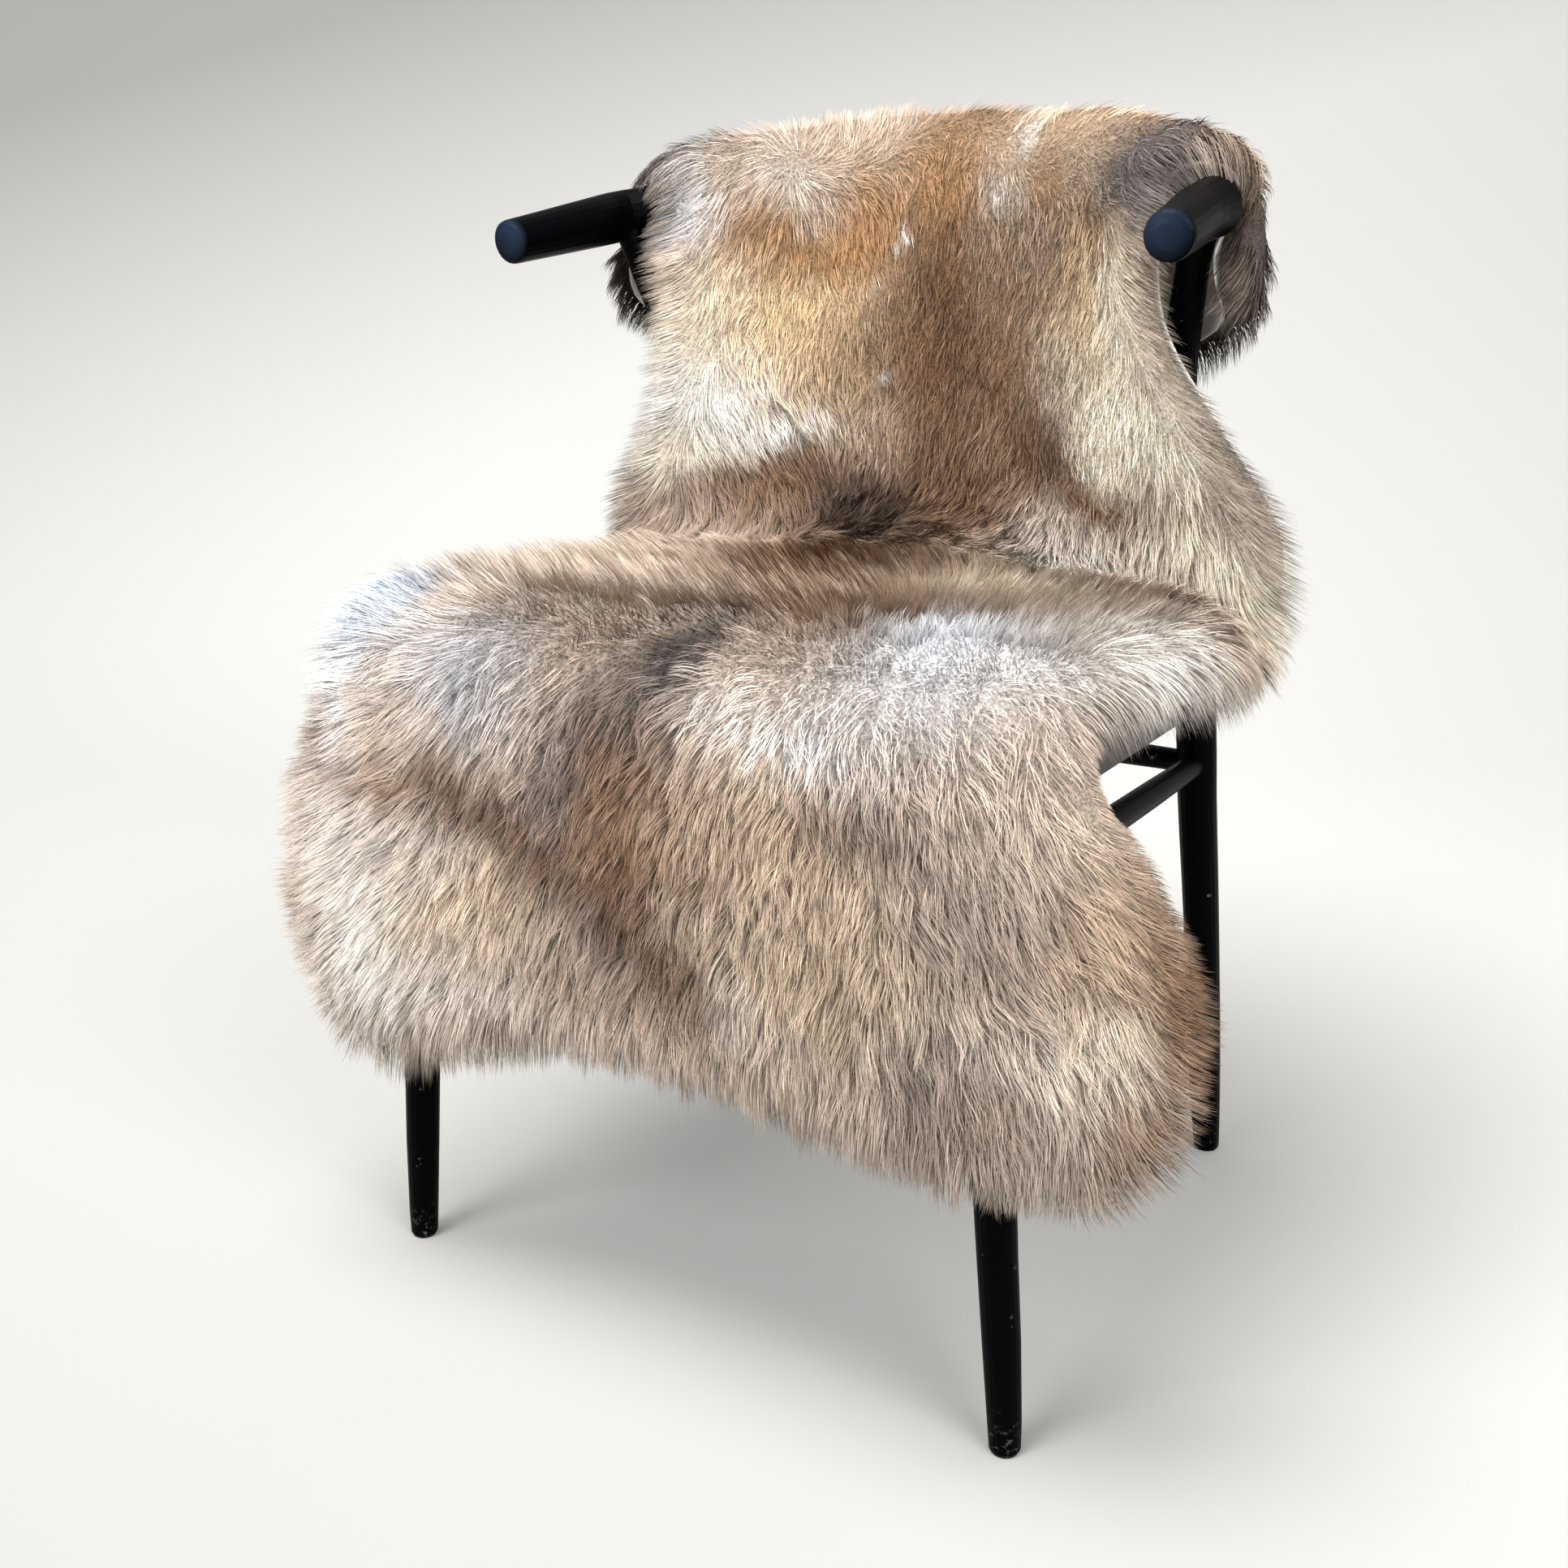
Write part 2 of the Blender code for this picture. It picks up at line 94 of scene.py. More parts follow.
# Painted light and shade: the floor's colour grows lighter along this direction, between two distances
# measured along it
FLOOR_PAINTED_LIGHT_WAY = (0.62, 1.0, -2.90)
FLOOR_PAINTED_LIGHT_START = -0.74
FLOOR_PAINTED_LIGHT_END = 1.25
SKY_COLOUR = (0.95, 0.97, 1.0)
SKY_STRENGTH = 0.95
Lamp = namedtuple("Lamp", "name place size power colour")
LAMPS = [
    Lamp("window_light", (-1.1, -3.9, 2.3), 2.6, 225.0, (0.95, 0.98, 1.0)),
    Lamp("overhead_light", (-0.3, -0.9, 3.2), 1.8, 155.0, (1.0, 0.985, 0.96)),
    Lamp("right_light", (3.0, -1.6, 2.2), 2.4, 160.0, (1.0, 0.97, 0.94)),
]
LAMP_TARGET = Vector((0.0, 0.0, 0.40))


def set_values(tree, node, **values):
    """Set a node's inputs by name or, as in input_1, by number, or else its own settings.

    An input that is given as a node and one of its outputs is linked to that output.
    """
    for name, value in values.items():
        label = name.replace("_", " ")
        numbered = label.startswith("input ")
        entry = node.inputs[int(label.split()[1])] if numbered else node.inputs.get(label)
        if entry is None:
            setattr(node, name, value)
        elif isinstance(value, tuple) and isinstance(value[0], bpy.types.Node):
            tree.links.new(value[0].outputs[value[1]], entry)
        else:
            entry.default_value = value


def add_node(tree, kind, **values):
    made = tree.nodes.new("ShaderNode" + kind)
    set_values(tree, made, **values)
    return made


def two_colours(tree, first, second, factor):
    """A node that goes from one colour to another as its factor goes from 0 to 1."""
    ends = {"input_6": (*first, 1.0), "input_7": (*second, 1.0)}
    return add_node(tree, "Mix", data_type="RGBA", input_0=factor, **ends)


def new_finish(name, **values):
    """A material with its node tree and its Principled shader, whose inputs are given by name."""
    material = bpy.data.materials.new(name)
    material.use_nodes = True
    shader = material.node_tree.nodes["Principled BSDF"]
    set_values(material.node_tree, shader, **values)
    return material, material.node_tree, shader


def mesh_piece(name, points, faces, material):
    mesh = bpy.data.meshes.new(name)
    mesh.from_pydata([tuple(p) for p in points], [], [tuple(f) for f in faces])
    mesh.materials.append(material)
    mesh.shade_smooth()
    return in_scene(name, mesh)


# The sweep's colour carries painted light and shade: a cloudy paint, scaled lighter or darker along one
# direction
sweep_paint_with_painted_light, tree, surface = new_finish("sweep_paint_with_painted_light", Roughness=0.9, Specular_IOR_Level=0.1)
place = add_node(tree, "TexCoord")
cloudy = add_node(tree, "TexNoise", Scale=0.7, Detail=2.0)
cloud_colour = [c * FLOOR_CLOUD_GAIN for c in FLOOR_COLOUR]
shades = two_colours(tree, FLOOR_COLOUR, cloud_colour, (cloudy, "Fac"))
reach = add_node(
    tree, "VectorMath", operation="DOT_PRODUCT",
    input_0=(place, "Object"), input_1=FLOOR_PAINTED_LIGHT_WAY,
)
far = add_node(
    tree, "MapRange", Value=(reach, "Value"),
    From_Min=FLOOR_PAINTED_LIGHT_START, From_Max=FLOOR_PAINTED_LIGHT_END,
    To_Min=FLOOR_NEAR_PAINTED_LIGHT, To_Max=FLOOR_FAR_PAINTED_LIGHT,
)
painted_light_floor = add_node(tree, "VectorMath", operation="SCALE", input_0=(shades, 2), Scale=(far, 0))
set_values(tree, surface, Base_Color=(painted_light_floor, 0))

profile = [(SWEEP_FRONT, 0.0), (SWEEP_BACK - SWEEP_RADIUS, 0.0)]
for step in range(1, SWEEP_STEPS + 1):
    turn = math.radians(90 * step / SWEEP_STEPS)
    profile.append((
        SWEEP_BACK - SWEEP_RADIUS + SWEEP_RADIUS * math.sin(turn),
        SWEEP_RADIUS * (1 - math.cos(turn)),
    ))
profile.append((SWEEP_BACK, SWEEP_TOP))
edges = [(x, y, z) for y, z in profile for x in (-SWEEP_HALF_WIDTH, SWEEP_HALF_WIDTH)]
strips = [(2 * i, 2 * i + 1, 2 * i + 3, 2 * i + 2) for i in range(len(profile) - 1)]
sweep = mesh_piece("studio_sweep", edges, strips, sweep_paint_with_painted_light)
sweep.rotation_euler = (0.0, 0.0, CAMERA_YAW)

sky = bpy.data.worlds.new("studio_sky")
sky.use_nodes = True
background = sky.node_tree.nodes["Background"]
set_values(sky.node_tree, background, Color=(*SKY_COLOUR, 1.0), Strength=SKY_STRENGTH)
bpy.context.scene.world = sky
bpy.context.scene.view_settings.view_transform = "Standard"

for lamp in LAMPS:
    light = bpy.data.lights.new(lamp.name, "AREA")
    light.shape = "DISK"
    light.size = lamp.size
    light.energy = lamp.power
    light.color = lamp.colour
    holder = in_scene(lamp.name, light)
    holder.location = lamp.place
    aim = LAMP_TARGET - Vector(lamp.place)
    holder.rotation_euler = aim.to_track_quat("-Z", "Y").to_euler()


# Legs. Four turned and tapered hardwood legs, sprayed with black satin lacquer. The rear two
# bend forward above the seat and carry the bow. The lacquer is rubbed pale round the feet.
LACQUER_COLOUR = (0.0004, 0.0004, 0.0007)
LACQUER_WORN = (0.085, 0.080, 0.075)
LACQUER_ROUGHNESS = 0.36
LACQUER_RUBBED_ROUGHNESS = 0.75
FOOT_WEAR_HEIGHT = 0.035
# Painted highlight on the horn ends: where it starts, how far it fades in, and its bluish colour
HORN_END_Y = -0.0300
HORN_END_DEPTH = 0.0065
HORN_END_PAINTED_HIGHLIGHT = (0.0085, 0.0140, 0.0260)


def new_group(name, inputs, outputs):
    """A node group and its two end nodes; the inputs are given with their usual values."""
    group = bpy.data.node_groups.new(name, "ShaderNodeTree")
    for way, sockets in (("INPUT", inputs), ("OUTPUT", dict.fromkeys(outputs))):
        for label, value in sockets.items():
            kind = "NodeSocketColor" if label == "Colour" else "NodeSocketFloat"
            socket = group.interface.new_socket(name=label, in_out=way, socket_type=kind)
            if value is not None:
                socket.default_value = value
    return group, group.nodes.new("NodeGroupInput"), group.nodes.new("NodeGroupOutput")


# Rubbed marks: pale nicks where a coarse noise passes a level, and a sprayed coat's fine relief
RUBBED_START = 0.78
RUBBED_REACH = 0.3
RUBBED_SOFTNESS = 0.05
rubbed, given, result = new_group(
    "rubbed_marks", {"Grain": 900.0, "Spread": 60.0, "Amount": 0.3}, ("Marks", "Height")
)
place = (add_node(rubbed, "TexCoord"), "Object")
grain = add_node(
    rubbed, "TexNoise", Vector=place, Scale=(given, "Grain"), Detail=3.0, Roughness=0.6
)
patchy = add_node(
    rubbed, "TexNoise", Vector=place, Scale=(given, "Spread"), Detail=4.0, Roughness=0.65
)
share = add_node(
    rubbed, "Math", operation="MULTIPLY", input_0=(given, "Amount"), input_1=RUBBED_REACH
)
reach = add_node(rubbed, "Math", operation="SUBTRACT", input_0=RUBBED_START, input_1=(share, 0))
above = add_node(rubbed, "Math", operation="ADD", input_0=(reach, 0), input_1=RUBBED_SOFTNESS)
marks = add_node(
    rubbed, "MapRange", Value=(patchy, "Fac"), From_Min=(reach, 0), From_Max=(above, 0)
)
set_values(rubbed, result, Marks=(marks, 0), Height=(grain, "Fac"))


def lacquer(name, roughness, marks, specular, foot_wear=False, painted_end_highlight=False):
    """Black satin lacquer, fine grain and faint marks; may wear the feet and paint a bluish highlight on
    the ends.
    """
    material, tree, surface = new_finish(name, Specular_IOR_Level=specular)
    marked = add_node(tree, "Group", node_tree=rubbed, Amount=marks)
    place = (add_node(tree, "TexCoord"), "Object")
    split = add_node(tree, "SeparateXYZ", Vector=place)
    worn = (marked, "Marks")
    if foot_wear:
        low = add_node(
            tree, "MapRange", Value=(split, "Z"), From_Min=FOOT_WEAR_HEIGHT, From_Max=0.0
        )
        more = add_node(tree, "TexNoise", Vector=place, Scale=240.0, Detail=5.0, Roughness=0.7)
        chips = add_node(tree, "MapRange", Value=(more, "Fac"), From_Min=0.56, From_Max=0.68)
        both = add_node(tree, "Math", operation="MULTIPLY", input_0=(low, 0), input_1=(chips, 0))
        worn = (add_node(tree, "Math", operation="MAXIMUM", input_0=(both, 0), input_1=worn), 0)
    paint = two_colours(tree, LACQUER_COLOUR, LACQUER_WORN, worn)
    # Painted highlight: the horn ends turn bluish in their colour, standing in for the window's light on
    # them
    if painted_end_highlight:
        highlight_share = add_node(
            tree, "MapRange", Value=(split, "Y"),
            From_Min=HORN_END_Y + HORN_END_DEPTH, From_Max=HORN_END_Y,
        )
        black = (paint, 2)
        paint = two_colours(tree, LACQUER_COLOUR, HORN_END_PAINTED_HIGHLIGHT, (highlight_share, 0))
        set_values(tree, paint, input_6=black)
    gloss = add_node(
        tree, "MapRange", Value=worn, To_Min=roughness, To_Max=LACQUER_RUBBED_ROUGHNESS
    )
    relief = add_node(tree, "Bump", Strength=0.06, Distance=0.0004, Height=(marked, "Height"))
    set_values(tree, surface, Base_Color=(paint, 2), Roughness=(gloss, 0), Normal=(relief, 0))
    return material


def refinish(node_name, material):
    """Give a solid of the frame its finish."""
    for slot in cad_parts[node_name].material_slots:
        slot.material = material


leg_lacquer = lacquer(
    "leg_lacquer", LACQUER_ROUGHNESS, marks=0.35, specular=0.02, foot_wear=True
)
for leg in ("front_leg_left", "front_leg_right", "rear_leg_left", "rear_leg_right"):
    refinish(leg, leg_lacquer)


# Bow. One bent round rail, from the left horn round the back to the right horn. It is lacquered
# like the legs, a little smoother, and its rounded ends have a bluish highlight painted into their colour.
BOW_ROUGHNESS = 0.32
bow_lacquer_and_painted_highlight = lacquer("bow_lacquer_and_painted_highlight", BOW_ROUGHNESS, marks=0.2, specular=0.02, painted_end_highlight=True)
refinish("back_bow", bow_lacquer_and_painted_highlight)


# Stretchers. Three round bars between the legs, thicker in the middle, let into the legs and
# lacquered with them.
STRETCHER_ROUGHNESS = 0.40
stretcher_lacquer = lacquer("stretcher_lacquer", STRETCHER_ROUGHNESS, marks=0.3, specular=0.05)
for bar in ("side_stretcher_left", "side_stretcher_right", "rear_stretcher"):
    refinish(bar, stretcher_lacquer)


# Seat base. A plywood board let in between the four legs, lacquered duller than they are, with
# the wood's grain just showing through.
BOARD_COLOURS = [(0.009, 0.009, 0.010), (0.022, 0.020, 0.019)]
BOARD_GRAIN_SCALE = (9.0, 220.0, 90.0)

board_lacquer, tree, surface = new_finish("board_lacquer", Roughness=0.55)
place = (add_node(tree, "TexCoord"), "Object")
drawn = add_node(tree, "Mapping", Vector=place, Scale=BOARD_GRAIN_SCALE)
grain = add_node(tree, "TexNoise", Vector=(drawn, 0), Scale=1.0, Detail=5.0, Roughness=0.6)
tone = two_colours(tree, *BOARD_COLOURS, (grain, "Fac"))
relief = add_node(tree, "Bump", Strength=0.25, Distance=0.0006, Height=(grain, "Fac"))
set_values(tree, surface, Base_Color=(tone, 2), Normal=(relief, 0))
refinish("seat_base", board_lacquer)


# Seat pad. A thin foam pad in black leather, crowned, with its side drawn in a little and a
# narrow piping seam. It lies loose on the board under the skin.
PAD_CORNERS = [(-0.215, -0.196), (0.215, -0.196), (0.178, 0.158), (-0.178, 0.158)]
PAD_TOP = 0.4500
PAD_BOTTOM = 0.4107
PAD_DEPTH = PAD_TOP - PAD_BOTTOM
PAD_CORNER_RADIUS = 0.030
PAD_CROWN = 0.008
PAD_POINTS_ROUND = 144
PAD_LEATHER_COLOURS = [(0.010, 0.009, 0.009), (0.024, 0.022, 0.021)]
# Shares of the way in to the middle, for the rings of the top and of the underside
PAD_TOP_RINGS = (0.96, 0.80, 0.62, 0.44, 0.28, 0.14, 0.06)
PAD_UNDER_RINGS = (0.2, 0.5, 0.8, 0.95)
# The side, as how far it stands out and how deep that is: edge, piping, foam, lower edge
PAD_SIDE = [
    (-0.010, 0.0062), (-0.005, 0.0082), (-0.0022, 0.0105),
    (-0.0030, 0.0120), (-0.0008, 0.0132), (0.0, 0.0146), (-0.0008, 0.0160), (-0.0030, 0.0172),
    (-0.0024, PAD_DEPTH / 2 + 0.004),
    (-0.0030, PAD_DEPTH - 0.008), (-0.0060, PAD_DEPTH - 0.003), (-0.0120, PAD_DEPTH),
]
# The tables measure from the chair's own middle. The model's origin is under the middle of the
# whole box, and this is its place in the tables' measure.
CENTRE = np.array([0.0342, -0.0033, 0.0])


def rounded_ring(corners, radius, steps):
    """Points round an outline with its corners rounded off."""
    ring = []
    for i, corner in enumerate(corners):
        here = np.array(corner)
        before = np.array(corners[i - 1]) - here
        after = np.array(corners[(i + 1) % len(corners)]) - here
        start = here + before / np.linalg.norm(before) * radius
        end = here + after / np.linalg.norm(after) * radius
        for t in np.linspace(0.0, 1.0, steps):
            ring.append((1 - t) ** 2 * start + 2 * t * (1 - t) * here + t**2 * end)
    return np.array(ring)


def evenly_round(ring, count):
    """The same closed outline with evenly spaced points."""
    closed = np.vstack([ring, ring[:1]])
    gone = np.concatenate([[0.0], np.cumsum(np.linalg.norm(np.diff(closed, axis=0), axis=1))])
    wanted = np.linspace(0.0, gone[-1], count, endpoint=False)
    return np.stack([np.interp(wanted, gone, closed[:, k]) for k in range(2)], axis=1)


def seat_pad_mesh(material):
    """Rings from the middle of the top, over the edge and the piping, to the middle below."""
    corners = rounded_ring(PAD_CORNERS, PAD_CORNER_RADIUS, steps=9)
    ring = evenly_round(corners, PAD_POINTS_ROUND)
    middle = ring.mean(axis=0)
    away = ring - middle
    away /= np.linalg.norm(away, axis=1)[:, None]
    rings = []
    for inward in PAD_TOP_RINGS:
        rings.append((ring * (1 - inward) + middle * inward, PAD_TOP - PAD_CROWN * (1 - inward) ** 2))
    for push, depth in PAD_SIDE:
        rings.append((ring + away * push, PAD_TOP - depth))
    for inward in PAD_UNDER_RINGS:
        rings.append((ring * (1 - inward) + middle * inward, PAD_BOTTOM))
    count = len(ring)
    points = np.vstack([np.column_stack([flat, np.full(count, height)]) for flat, height in rings])
    faces = []
    for row in range(len(rings) - 1):
        for k in range(count):
            after = (k + 1) % count
            faces.append((row * count + k, (row + 1) * count + k,
                          (row + 1) * count + after, row * count + after))
    faces.append(list(range(count)))
    faces.append([(len(rings) - 1) * count + k for k in range(count)][::-1])
    return mesh_piece("leather_seat_pad", points - CENTRE, faces, material)


pad_leather, tree, surface = new_finish("pad_leather", Roughness=0.5)
place = (add_node(tree, "TexCoord"), "Object")
pores = add_node(tree, "TexVoronoi", feature="DISTANCE_TO_EDGE", Vector=place, Scale=620.0)
creased = add_node(tree, "TexNoise", Vector=place, Scale=35.0, Detail=5.0)
tone = two_colours(tree, *PAD_LEATHER_COLOURS, (creased, "Fac"))
relief = add_node(tree, "Bump", Strength=0.35, Distance=0.0005, Height=(pores, "Distance"))
set_values(tree, surface, Base_Color=(tone, 2), Normal=(relief, 0))
seat_pad = seat_pad_mesh(pad_leather)
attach(seat_pad, "root")
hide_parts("seat_pad")


# Hide. The tanned skin itself, one pelt about 1.05 m long, off-white suede on its flesh side.
# It hangs over the seat's front, climbs the back and folds over the bow, behind which its
# front legs hang. Rows give its middle line, half widths, bends and the coat's depth.
BOW_BACK_Y = 0.187
BOW_HALF_WIDTH = 0.2225
SIDE_BEND_START = 0.222
SIDE_BEND_RADIUS = 0.045
CORNER_REACH = 0.25
LEG_ROLL_START = 0.883
LEG_ROLL_FULL = 0.915
LEG_ROLL_REACH = 0.201
LEG_ROLL_RADIUS = 0.022
LEG_ROLL_TURN = 60.0
CORNER_RADIUS = 0.036
COURSE_STEP = 0.009
HIDE_THICKNESS = 0.0017
HIDE_STEP = 0.007
HIDE_ACROSS = 73
SUEDE_COLOURS = [(0.52, 0.505, 0.475), (0.42, 0.375, 0.31)]

# A row's columns: its middle's place, half widths, side bends in degrees, how much lower each
# corner hangs, the coat's depth, the bow's curve, the fall of its sides, and its edge hair
Row = namedtuple(
    "Row", "name y z left right bend_left bend_right low_left low_right pile bow fall lock"
)
SKIN_ROWS = [Row(*row) for row in (
    ("hem", -0.222, 0.230, 0.256, 0.326, 10, 22, 0.048, 0.026, 0.026, 0, 0, 0.020),
    ("lower flap", -0.224, 0.300, 0.277, 0.340, 10, 24, 0.030, -0.010, 0.032, 0, 0, 0.022),
    ("upper flap", -0.222, 0.375, 0.254, 0.308, 12, 30, 0.010, -0.010, 0.034, 0, 0, 0.022),
    ("under edge", -0.218, 0.422, 0.232, 0.286, 20, 40, 0, 0, 0.034, 0, 0, 0.018),
    ("edge", -0.208, 0.447, 0.233, 0.275, 30, 48, 0, 0, 0.034, 0, 0, 0.016),
    ("over edge", -0.187, 0.459, 0.236, 0.268, 40, 55, 0, 0, 0.034, 0, 0, 0.016),
    ("seat front", -0.125, 0.4600, 0.255, 0.264, 60, 65, 0, 0, 0.034, 0, 0, 0.018),
    ("seat middle", -0.030, 0.4528, 0.262, 0.268, 60, 65, 0, 0, 0.033, 0, 0, 0.018),
    ("seat rear", 0.060, 0.4530, 0.262, 0.280, 55, 55, 0, 0, 0.031, 0.006, 0, 0.018),
    ("crease", 0.130, 0.4690, 0.258, 0.290, 35, 40, 0, 0, 0.027, 0.026, 0, 0.018),
    ("low back", 0.160, 0.515, 0.240, 0.290, 25, 35, 0, 0, 0.026, 0.062, 0, 0.016),
    ("waist", 0.166, 0.585, 0.210, 0.256, 10, 15, 0, 0, 0.026, 0.085, 0, 0.014),
    ("upper back", 0.165, 0.655, 0.202, 0.211, 0, 0, 0, 0, 0.026, 0.098, 0.003, 0.010),
    ("under bow", 0.163, 0.705, 0.204, 0.208, 0, 0, 0, 0, 0.026, 0.100, 0.010, 0.006),
    ("bow front", 0.1650, 0.7400, 0.203, 0.207, 0, 0, 0, 0, 0.027, 0.100, 0.022, 0.005),
    ("front shoulder", 0.1712, 0.7573, 0.205, 0.212, 0, 0, 0, 0, 0.028, 0.100, 0.023, 0.007),
    ("crest", 0.1870, 0.7640, 0.208, 0.222, 0, 0, 0, 0, 0.028, 0.100, 0.024, 0.010),
    ("back shoulder", 0.2025, 0.7573, 0.209, 0.223, 0, 0, 0, 0, 0.030, 0.100, 0.024, 0.012),
    ("bow back", 0.2090, 0.7400, 0.210, 0.223, 0, 0, 0, 0, 0.032, 0.100, 0.022, 0.014),
    ("back flap", 0.2110, 0.695, 0.226, 0.240, 0, 0, 0, 0, 0.034, 0.100, 0.010, 0.018),
    ("front legs", 0.2100, 0.650, 0.212, 0.216, 0, 0, 0, 0, 0.034, 0.100, 0, 0.020),
    ("neck", 0.2080, 0.605, 0.140, 0.140, 0, 0, 0, 0, 0.028, 0.095, 0, 0.020),
)]
ROW_TABLE = np.array([row[1:] for row in SKIN_ROWS], float)
ROW_STEPS = np.linalg.norm(np.diff(ROW_TABLE[:, :2], axis=0), axis=1)
ROW_PLACES = np.concatenate([[0.0], np.cumsum(ROW_STEPS)])
PELT_LENGTH = ROW_PLACES[-1]


def spline_through(places, values, wanted):
    """The smooth curve through rows of values, read at the wanted places."""
    steps = np.diff(places)
    rises = np.diff(values, axis=0) / steps[:, None]
    slopes = np.zeros_like(values)
    weights = (steps[:-1] + steps[1:])[:, None]
    slopes[1:-1] = (steps[:-1, None] * rises[1:] + steps[1:, None] * rises[:-1]) / weights
    slopes[0] = rises[0]
    slopes[-1] = rises[-1]
    span = np.clip(np.searchsorted(places, wanted) - 1, 0, len(places) - 2)
    step = steps[span][:, None]
    t = (wanted - places[span])[:, None] / step
    start = (2 * t**3 - 3 * t**2 + 1) * values[span] + (t**3 - 2 * t**2 + t) * step * slopes[span]
    end = (3 * t**2 - 2 * t**3) * values[span + 1] + (t**3 - t**2) * step * slopes[span + 1]
    return start + end


def pelt_rows(along):
    """Each wanted place's row, as named columns."""
    columns = spline_through(ROW_PLACES, ROW_TABLE, np.asarray(along, float)).T
    return dict(zip(Row._fields[1:], columns))


def half_widths(along):
    """The pelt's half width on its left and on its right, less the round corners."""
    row = pelt_rows(along)
    to_end = np.minimum(along, PELT_LENGTH - along)
    inside = np.clip(CORNER_RADIUS - to_end, 0.0, CORNER_RADIUS)
    trim = CORNER_RADIUS - np.sqrt(CORNER_RADIUS**2 - inside**2)
    return row["left"] - trim, row["right"] - trim


def roll_share(along):
    """How far the front legs' edges roll forwards: 0 up to the bow, 1 below it."""
    return np.clip((along - LEG_ROLL_START) / (LEG_ROLL_FULL - LEG_ROLL_START), 0.0, 1.0)


def flesh_points(across, along):
    """Points of the flesh side, from places measured on the pelt in metres."""
    row = pelt_rows(along)
    before = np.clip(along - COURSE_STEP, 0.0, PELT_LENGTH)
    after = np.clip(along + COURSE_STEP, 0.0, PELT_LENGTH)
    row_before = pelt_rows(before)
    row_after = pelt_rows(after)
    ahead = row_after["y"] - row_before["y"]
    up = row_after["z"] - row_before["z"]
    size = np.hypot(ahead, up)
    ahead = ahead / size
    up = up / size
    reach = np.abs(across)
    rolled = roll_share(along)
    bend_start = SIDE_BEND_START + (LEG_ROLL_REACH - SIDE_BEND_START) * rolled
    radius = SIDE_BEND_RADIUS + (LEG_ROLL_RADIUS - SIDE_BEND_RADIUS) * rolled
    most = np.maximum(np.where(across < 0, row["bend_left"], row["bend_right"]), 0.0)
    most = np.radians(most + LEG_ROLL_TURN * rolled)
    past = np.maximum(reach - bend_start, 0.0)
    angle = np.minimum(past / radius, most)
    straight = past - angle * radius
    out = np.minimum(reach, bend_start)
    out = out + radius * np.sin(angle) + straight * np.cos(angle)
    drop = radius * (1 - np.cos(angle)) + straight * np.sin(angle)
    low = np.where(across < 0, row["low_left"], row["low_right"])
    low = low * (1 - np.cos(math.pi * np.clip(reach / CORNER_REACH, 0, 1))) / 2
    x = np.sign(across) * out
    share = (x / BOW_HALF_WIDTH) ** 2
    slope = 2 * row["bow"] * x / BOW_HALF_WIDTH**2
    facing = np.hypot(slope, 1.0)
    offset = row["y"] - BOW_BACK_Y + drop * up
    points = np.stack([
        x + offset * slope / facing,
        BOW_BACK_Y - row["bow"] * share + offset / facing - low * ahead,
        row["z"] - row["fall"] * share - drop * ahead - low * up,
    ], axis=-1)
    return points - CENTRE


def unit(vectors):
    return vectors / np.maximum(np.linalg.norm(vectors, axis=-1, keepdims=True), 1e-9)


def pelt_axes(across, along, step=0.004):
    """Unit vectors on the pelt: towards its right side, towards its neck, and out of its hair."""
    to_side = flesh_points(across + step, along) - flesh_points(across - step, along)
    upper = flesh_points(across, np.clip(along + step, 0, PELT_LENGTH))
    lower = flesh_points(across, np.clip(along - step, 0, PELT_LENGTH))
    to_side = unit(to_side)
    to_neck = unit(upper - lower)
    outward = unit(np.cross(to_side, to_neck))
    return to_side, to_neck, outward


def pelt_grid(rows, columns, inset=0.0):
    """Places of a grid over the whole pelt, inset from its edge."""
    along = np.linspace(inset, PELT_LENGTH - inset, rows)
    side = np.linspace(-1.0, 1.0, columns)
    left, right = half_widths(along)
    across = np.where(side < 0, side * (left - inset)[:, None], side * (right - inset)[:, None])
    return across, np.repeat(along[:, None], columns, axis=1)


def closed_grid(upper, lower):
    """Points and faces of the closed slab between two grids; the upper one faces outwards."""
    rows, columns = upper.shape[:2]
    points = np.vstack([upper.reshape(-1, 3), lower.reshape(-1, 3)])
    below = rows * columns
    faces = []
    for i in range(rows - 1):
        for j in range(columns - 1):
            a = i * columns + j
            b = a + columns
            faces.append((a, a + 1, b + 1, b))
            faces.append((below + a, below + b, below + b + 1, below + a + 1))
    rim = list(range(columns - 1))
    rim += [i * columns + columns - 1 for i in range(rows - 1)]
    rim += [(rows - 1) * columns + j for j in range(columns - 1, 0, -1)]
    rim += [i * columns for i in range(rows - 1, 0, -1)]
    for k, here in enumerate(rim):
        after = rim[(k + 1) % len(rim)]
        faces.append((here, below + here, below + after, after))
    return points, faces


suede, tree, surface = new_finish(
    "flesh_side_suede", Roughness=0.88, Sheen_Weight=0.25, Sheen_Roughness=0.5
)
place = (add_node(tree, "TexCoord"), "Object")
nap = add_node(tree, "TexNoise", Vector=place, Scale=1400.0, Detail=3.0, Roughness=0.7)
stains = add_node(tree, "TexNoise", Vector=place, Scale=11.0, Detail=5.0, Roughness=0.55)
veins = add_node(
    tree, "TexNoise", Vector=place, Scale=90.0, Detail=4.0, Roughness=0.6, Distortion=1.5
)
spread = add_node(tree, "MapRange", Value=(stains, "Fac"), From_Min=0.42, From_Max=0.78)
tone = two_colours(tree, *SUEDE_COLOURS, (spread, 0))
heights = add_node(tree, "Math", operation="ADD", input_0=(nap, "Fac"), input_1=(veins, "Fac"))
relief = add_node(tree, "Bump", Strength=0.45, Distance=0.0008, Height=(heights, 0))
